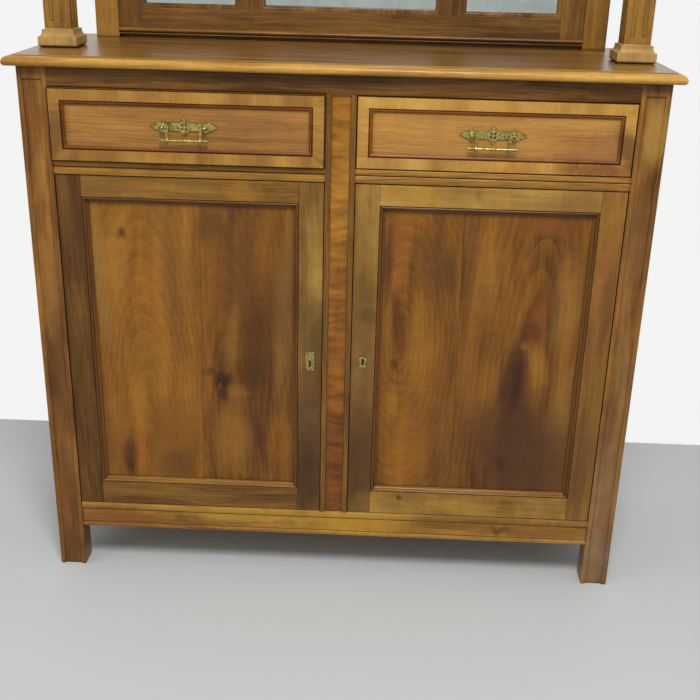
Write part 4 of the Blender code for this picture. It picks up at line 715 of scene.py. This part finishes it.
# Drawers
drawers = {
    "border": 20.5 * mm,
    "moulding": 7.0 * mm,
    "dovetails": 13 * mm,    # thickness at the back of the front that holds them
    "edge": 0.2 * mm,
    "shadeReach": 50 * mm,   # the whole length of the shade stops, from the outer edge inwards
    # Painted shadow: a dark line at the outer edge and one where the moulding starts; the moulding is darker
    # too
    "shadeStops": [(0.0, "3a2c20"), (0.02, "4a3a2a"), (0.045, "ffffff"), (0.40, "ffffff"), (0.41, "7c5e38"),
                   (0.45, "7c5e38"), (0.46, "c4a87a"), (0.52, "b49668"), (0.56, "ffffff"), (1.0, "ffffff")],
    "paintedSheen": 0.65,          # painted highlight: more shine on the upward-facing side of the moulding
    "paintedSheenSlope": 0.2,      # least upward share of a normal there
    "panelStops": [(0.0, "472b13"), (0.3, "6f481e"), (0.5, "93642c"), (0.75, "b17f3b"), (1.0, "c4944e")],
    "left": {"tone": 0.0, "marks": [
        (-0.490, 0.87, 0.03, 0.07, 10, 0.75, "643c1c"), (-0.43, 0.838, 0.07, 0.016, 0, 0.4, "8f5f26"),
        (-0.35, 0.915, 0.05, 0.03, 0, 0.3, "8a5a2c"), (-0.15, 0.90, 0.12, 0.04, 0, 0.35, "8c5e34"),
        (-0.40, 0.935, 0.06, 0.02, 0, 0.35, "9a7434"), (-0.23, 0.94, 0.05, 0.02, 0, 0.5, "b88a3a")]},
    "right": {"tone": 0.18, "marks": [
        (0.44, 0.86, 0.09, 0.05, 0, 0.50, "8a5a34"), (0.44, 0.833, 0.11, 0.020, 0, 0.80, "784420"),
        (0.30, 0.83, 0.05, 0.016, 0, 0.45, "8a5a26"), (0.490, 0.87, 0.022, 0.06, -20, 0.75, "5c3418"),
        (0.11, 0.94, 0.10, 0.02, 0, 0.5, "c89c48")]},
}


def drawerWood(side):
    # Cross-banded border mitred round a moulded field: golden border, warmer brown field
    wood = dict(walnut, cornerShade=0.85, rough=0.33, shine=0.30, wax=0.14, **drawers[side])
    low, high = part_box("drawer_" + side + "_front")
    material, tree, shader = newMaterial("cross-banded walnut drawer front " + side)
    place = addNode(tree, "TexCoord").outputs["Object"]
    along = boardPattern(tree, place, "X", dict(wood, streakWidth=4.0, streaks=0.55, clouds=0.6, figure=0.04))
    across = boardPattern(tree, place, "Z", dict(wood, streakWidth=8.0, streaks=0.22, clouds=0.8, figure=0.08,
                                                 figureStep=22.0, figureWidth=30.0))
    part = addNode(tree, "SeparateXYZ", None, {0: place})
    edges = []
    for axis, middle, half in (("X", (low.x + high.x) / 2, (high.x - low.x) / 2),
                               ("Z", (low.z + high.z) / 2, (high.z - low.z) / 2)):
        off = addNode(tree, "Math", {"operation": "SUBTRACT", 1: middle}, {0: part.outputs[axis]})
        off = addNode(tree, "Math", {"operation": "ABSOLUTE"}, {0: off.outputs[0]})
        inwards = addNode(tree, "Math", {"operation": "SUBTRACT", 0: half}, {1: off.outputs[0]})
        edges.append(inwards.outputs[0])
    near = addNode(tree, "Math", {"operation": "MINIMUM"}, {0: edges[0], 1: edges[1]}).outputs[0]
    flat = addNode(tree, "Math", {"operation": "GREATER_THAN"}, {0: edges[0], 1: edges[1]})
    border = addNode(tree, "Math", {"operation": "LESS_THAN", 1: drawers["border"]}, {0: near})
    banded = addNode(tree, "Math", {"operation": "MULTIPLY"}, {0: flat.outputs[0], 1: border.outputs[0]})
    pattern = blendPatterns(tree, banded.outputs[0], along, across)
    field = addNode(tree, "ValToRGB", {"stops": drawers["panelStops"]}, {"Fac": pattern["value"]})
    rim = addNode(tree, "ValToRGB", {"stops": goldStops}, {"Fac": pattern["value"]})
    mixed = addNode(tree, "Mix", {"data_type": "RGBA"},
                    {0: border.outputs[0], 6: field.outputs[0], 7: rim.outputs[0]})
    colour = addMarks(tree, place, mixed.outputs[2], wood["marks"])
    # Painted shadow lines, and a darker moulding, by distance from the front's outer edge
    shade = addNode(tree, "ValToRGB", {"stops": drawers["shadeStops"]})
    reach = addNode(tree, "MapRange", {"From Max": drawers["shadeReach"]}, {"Value": near})
    tree.links.new(reach.outputs[0], shade.inputs["Fac"])
    colour = addNode(tree, "VectorMath", {"operation": "MULTIPLY"}, {0: colour, 1: shade.outputs["Color"]})
    waxFinish(tree, shader, colour.outputs[0], pattern, wood)
    # Painted highlight: the upward-facing side of the moulding gets more shine than the flats
    raised = addNode(tree, "Math", {"operation": "COMPARE", 1: drawers["border"] + drawers["moulding"] / 2,
                                    2: drawers["moulding"] / 2}, {0: near})
    facing = addNode(tree, "NewGeometry")
    upward = addNode(tree, "SeparateXYZ", None, {0: facing.outputs["Normal"]})
    upper = addNode(tree, "Math", {"operation": "GREATER_THAN", 1: drawers["paintedSheenSlope"]},
                    {0: upward.outputs["Z"]})
    upper = addNode(tree, "Math", {"operation": "MULTIPLY"}, {0: upper.outputs[0], 1: raised.outputs[0]})
    glint = addNode(tree, "MapRange", {"To Min": wood["shine"], "To Max": drawers["paintedSheen"]},
                    {"Value": upper.outputs[0]})
    # Specular and coat follow the painted shade's lightness, so the painted dark lines stay dull
    unshaded = addNode(tree, "RGBToBW", None, {0: shade.outputs["Color"]})
    glint = addNode(tree, "Math", {"operation": "MULTIPLY"}, {0: glint.outputs[0], 1: unshaded.outputs[0]})
    tree.links.new(glint.outputs[0], shader.inputs["Specular IOR Level"])
    coat = addNode(tree, "Math", {"operation": "MULTIPLY", 1: wood["wax"]}, {0: unshaded.outputs[0]})
    tree.links.new(coat.outputs[0], shader.inputs["Coat Weight"])
    return material


# Plain secondary wood inside: planed, unwaxed and a little dusty
plainInside = dict(
    stops=[(0.0, "5a3e20"), (0.3, "7c5a30"), (0.5, "96713f"), (0.75, "ab8550"), (1.0, "bd9862")],
    rough=0.62, shine=0.2, wax=0.0, figure=0.03, streaks=0.6, clouds=0.6, cornerShade=0.5)


def planedPick(node):
    # The back, the dovetails and the outer edges of a drawer front are planed and not polished
    low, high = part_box(node)
    rear = high.y - drawers["dovetails"]

    def pick(centre, normal):
        edge = min(centre.x - low.x, high.x - centre.x, centre.z - low.z, high.z - centre.z)
        return 1 if normal.y > 0.5 or centre.y > rear or edge < drawers["edge"] else 0
    return pick


for side in ("left", "right"):
    name = "drawer_" + side + "_"
    inside = waxedWood("planed poplar drawer " + side, "Y", **plainInside)
    crossways = waxedWood("planed poplar drawer back " + side, "X", **plainInside)
    easedPiece(name + "front", [
        drawerWood(side),
        waxedWood("planed walnut drawer inside " + side, "X", tone=0.1, rough=0.6, wax=0.0)],
        choose=planedPick(name + "front"))
    easedPiece(name + "side_left", [inside])
    easedPiece(name + "side_right", [inside])
    easedPiece(name + "back", [crossways])
    easedPiece(name + "bottom", [crossways])
print("drawers done")

# Inside and back of the carcass: grain of each piece, and the planks it is joined from
insidePieces = {
    "bottom_board": ("X", ("Y", -0.2, 0.125, 0.2)),
    "inner_shelf": ("X", ("Y", -0.2, 0.155, 0.2)),
    "drawer_runner_left": ("Y", None),
    "drawer_runner_centre": ("Y", None),
    "drawer_runner_right": ("Y", None),
    "mirror_backboard": ("X", None),
}
backBoards = {"count": 5, "change": 0.34, "smoothAngle": 20}
low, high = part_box("back_panel")
easedPiece("back_panel", [waxedWood("planed poplar back boards", planks=(
    "X", low.x, (high.x - low.x) / backBoards["count"], backBoards["change"]), **plainInside)],
    smoothAngle=backBoards["smoothAngle"])
for node, (grain, planks) in insidePieces.items():
    easedPiece(node, [
        waxedWood("planed poplar " + node.replace("_", " "), grain, planks=planks, **plainInside)])
print("inside done")


# Stage
stage = {
    "plinthTop": 1.033,      # metres above the floor; below it the plinths are golden
    "footTop": 1.05,         # below it the front of the mirror frame is golden
    "footDepth": 4 * mm,
    "stile": 45.5 * mm,      # width of the mirror frame's outer uprights
    "sightLow": 1.0575,      # foot and head of the mirrors' openings
    "sightHigh": 1.3322,
}
frameLow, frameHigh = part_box("mirror_frame")
railStart, railEnd = frameLow.x + stage["stile"], frameHigh.x - stage["stile"]


def plinthPick(centre, normal):
    return 1 if centre.z < stage["plinthTop"] else 0


def footPick(centre, normal):
    return 1 if centre.y < frameLow.y + stage["footDepth"] and centre.z < stage["footTop"] else 0


for side in ("left", "right"):
    easedPiece("stage_post_" + side, [
        waxedWood("waxed walnut stage post " + side, tone=0.22),
        waxedWood("golden walnut stage plinth " + side, stops=paleStops, tone=0.16, streaks=0.5)],
        choose=plinthPick)
    easedPiece("stage_upright_" + side, [waxedWood("waxed walnut upright " + side, tone=0.26)])
easedPiece("mirror_frame", [
    joinedWood("waxed walnut mirror frame", [
        ("X", railStart, railEnd, frameLow.z - mm, stage["sightLow"]),
        ("X", railStart, railEnd, stage["sightHigh"], frameHigh.z + mm)], tone=-0.04),
    waxedWood("golden walnut frame foot", "X", stops=goldStops, tone=-0.20, clouds=0.5)],
    choose=footPick)
print("stage done")


# Metal and glass
metals = {
    "brass": [(0.30, "665628"), (0.55, "b3a35e"), (0.75, "c9b66e")],
    "brassRough": 0.44,
    "brassDirtReach": 4 * mm,
    "tickDepth": 0.3 * mm,
    "steel": [(0.35, "4d4038"), (0.6, "77726c"), (1.0, "9a958e")],
    "steelRough": 0.42,
    "silvering": [(0.3, "979d99"), (0.5, "a9b0ac"), (1.0, "b8beba")],
}


def brassMaterial(name):
    # Old cast brass, lacquer gone: olive yellow, darker in its hollows, with fine ticks from a punch
    material, tree, shader = newMaterial(name)
    place = addNode(tree, "TexCoord").outputs["Object"]
    mottle = addNode(tree, "TexNoise", {"Scale": 260.0, "Detail": 3.0}, {"Vector": place})    # about 4 mm
    tone = addNode(tree, "ValToRGB", {"stops": metals["brass"]}, {"Fac": mottle.outputs["Fac"]})
    hollow = addNode(tree, "AmbientOcclusion", {"samples": 4, "Distance": metals["brassDirtReach"]})
    worn = addNode(tree, "MapRange", {"From Min": 0.3, "From Max": 0.9, "To Min": 0.25, "To Max": 1.0},
                   {"Value": hollow.outputs["AO"]})
    colour = addNode(tree, "VectorMath", {"operation": "SCALE"},
                     {0: tone.outputs["Color"], "Scale": worn.outputs[0]})
    tree.links.new(colour.outputs[0], shader.inputs["Base Color"])
    shader.inputs["Metallic"].default_value = 1.0
    shader.inputs["Roughness"].default_value = metals["brassRough"]
    ticks = addNode(tree, "TexVoronoi", {"Scale": 480.0}, {"Vector": place})      # 2 mm apart
    relief = addNode(tree, "Bump", {"Strength": 0.3, "Distance": metals["tickDepth"]},
                     {"Height": ticks.outputs["Distance"]})
    tree.links.new(relief.outputs[0], shader.inputs["Normal"])
    return material


def steelMaterial(name):
    # Bright-drawn steel gone dull: grey, with a brown bloom
    material, tree, shader = newMaterial(name)
    place = addNode(tree, "TexCoord").outputs["Object"]
    bloom = addNode(tree, "TexNoise", {"Scale": 180.0, "Detail": 4.0}, {"Vector": place})    # about 5 mm
    tone = addNode(tree, "ValToRGB", {"stops": metals["steel"]}, {"Fac": bloom.outputs["Fac"]})
    tree.links.new(tone.outputs["Color"], shader.inputs["Base Color"])
    shader.inputs["Metallic"].default_value = 1.0
    shader.inputs["Roughness"].default_value = metals["steelRough"]
    return material


def mirrorMaterial(name):
    # Silvered plate glass: a clear reflection, slightly grey with age, with a faint bloom in patches
    material, tree, shader = newMaterial(name)
    place = addNode(tree, "TexCoord").outputs["Object"]
    age = addNode(tree, "TexNoise", {"Scale": 14.0, "Detail": 5.0, "Roughness": 0.7}, {"Vector": place})
    tone = addNode(tree, "ValToRGB", {"stops": metals["silvering"]}, {"Fac": age.outputs["Fac"]})
    tree.links.new(tone.outputs["Color"], shader.inputs["Base Color"])
    haze = addNode(tree, "MapRange", {"From Min": 0.55, "From Max": 0.8, "To Min": 0.02, "To Max": 0.12},
                   {"Value": age.outputs["Fac"]})
    tree.links.new(haze.outputs[0], shader.inputs["Roughness"])
    shader.inputs["Metallic"].default_value = 1.0
    return material


brass = brassMaterial("cast brass, aged")
steel = steelMaterial("drawn steel, dull")
silvered = mirrorMaterial("silvered plate glass")
greyBack = waxedWood("grey backing paint", stops=[(0.0, "4a4846"), (1.0, "6c6a66")], rough=0.7, wax=0.0)
for side in ("left", "right"):
    easedPiece("drawer_" + side + "_pull_plate", [brass], easing["metal"])
    easedPiece("drawer_" + side + "_bail", [brass], easing["metal"])
    easedPiece("door_" + side + "_escutcheon", [brass], easing["metal"])
    easedPiece("door_" + side + "_lock_bolt", [steel], easing["metal"])
    easedPiece("door_" + side + "_pivot_lower", [steel], easing["metal"])
    easedPiece("door_" + side + "_pivot_upper", [steel], easing["metal"])
for spot in ("left", "centre", "right"):
    easedPiece("mirror_" + spot, [silvered, greyBack], easing["metal"],
               choose=lambda centre, normal: 1 if normal.y > 0.5 else 0)
print("metal and glass done")
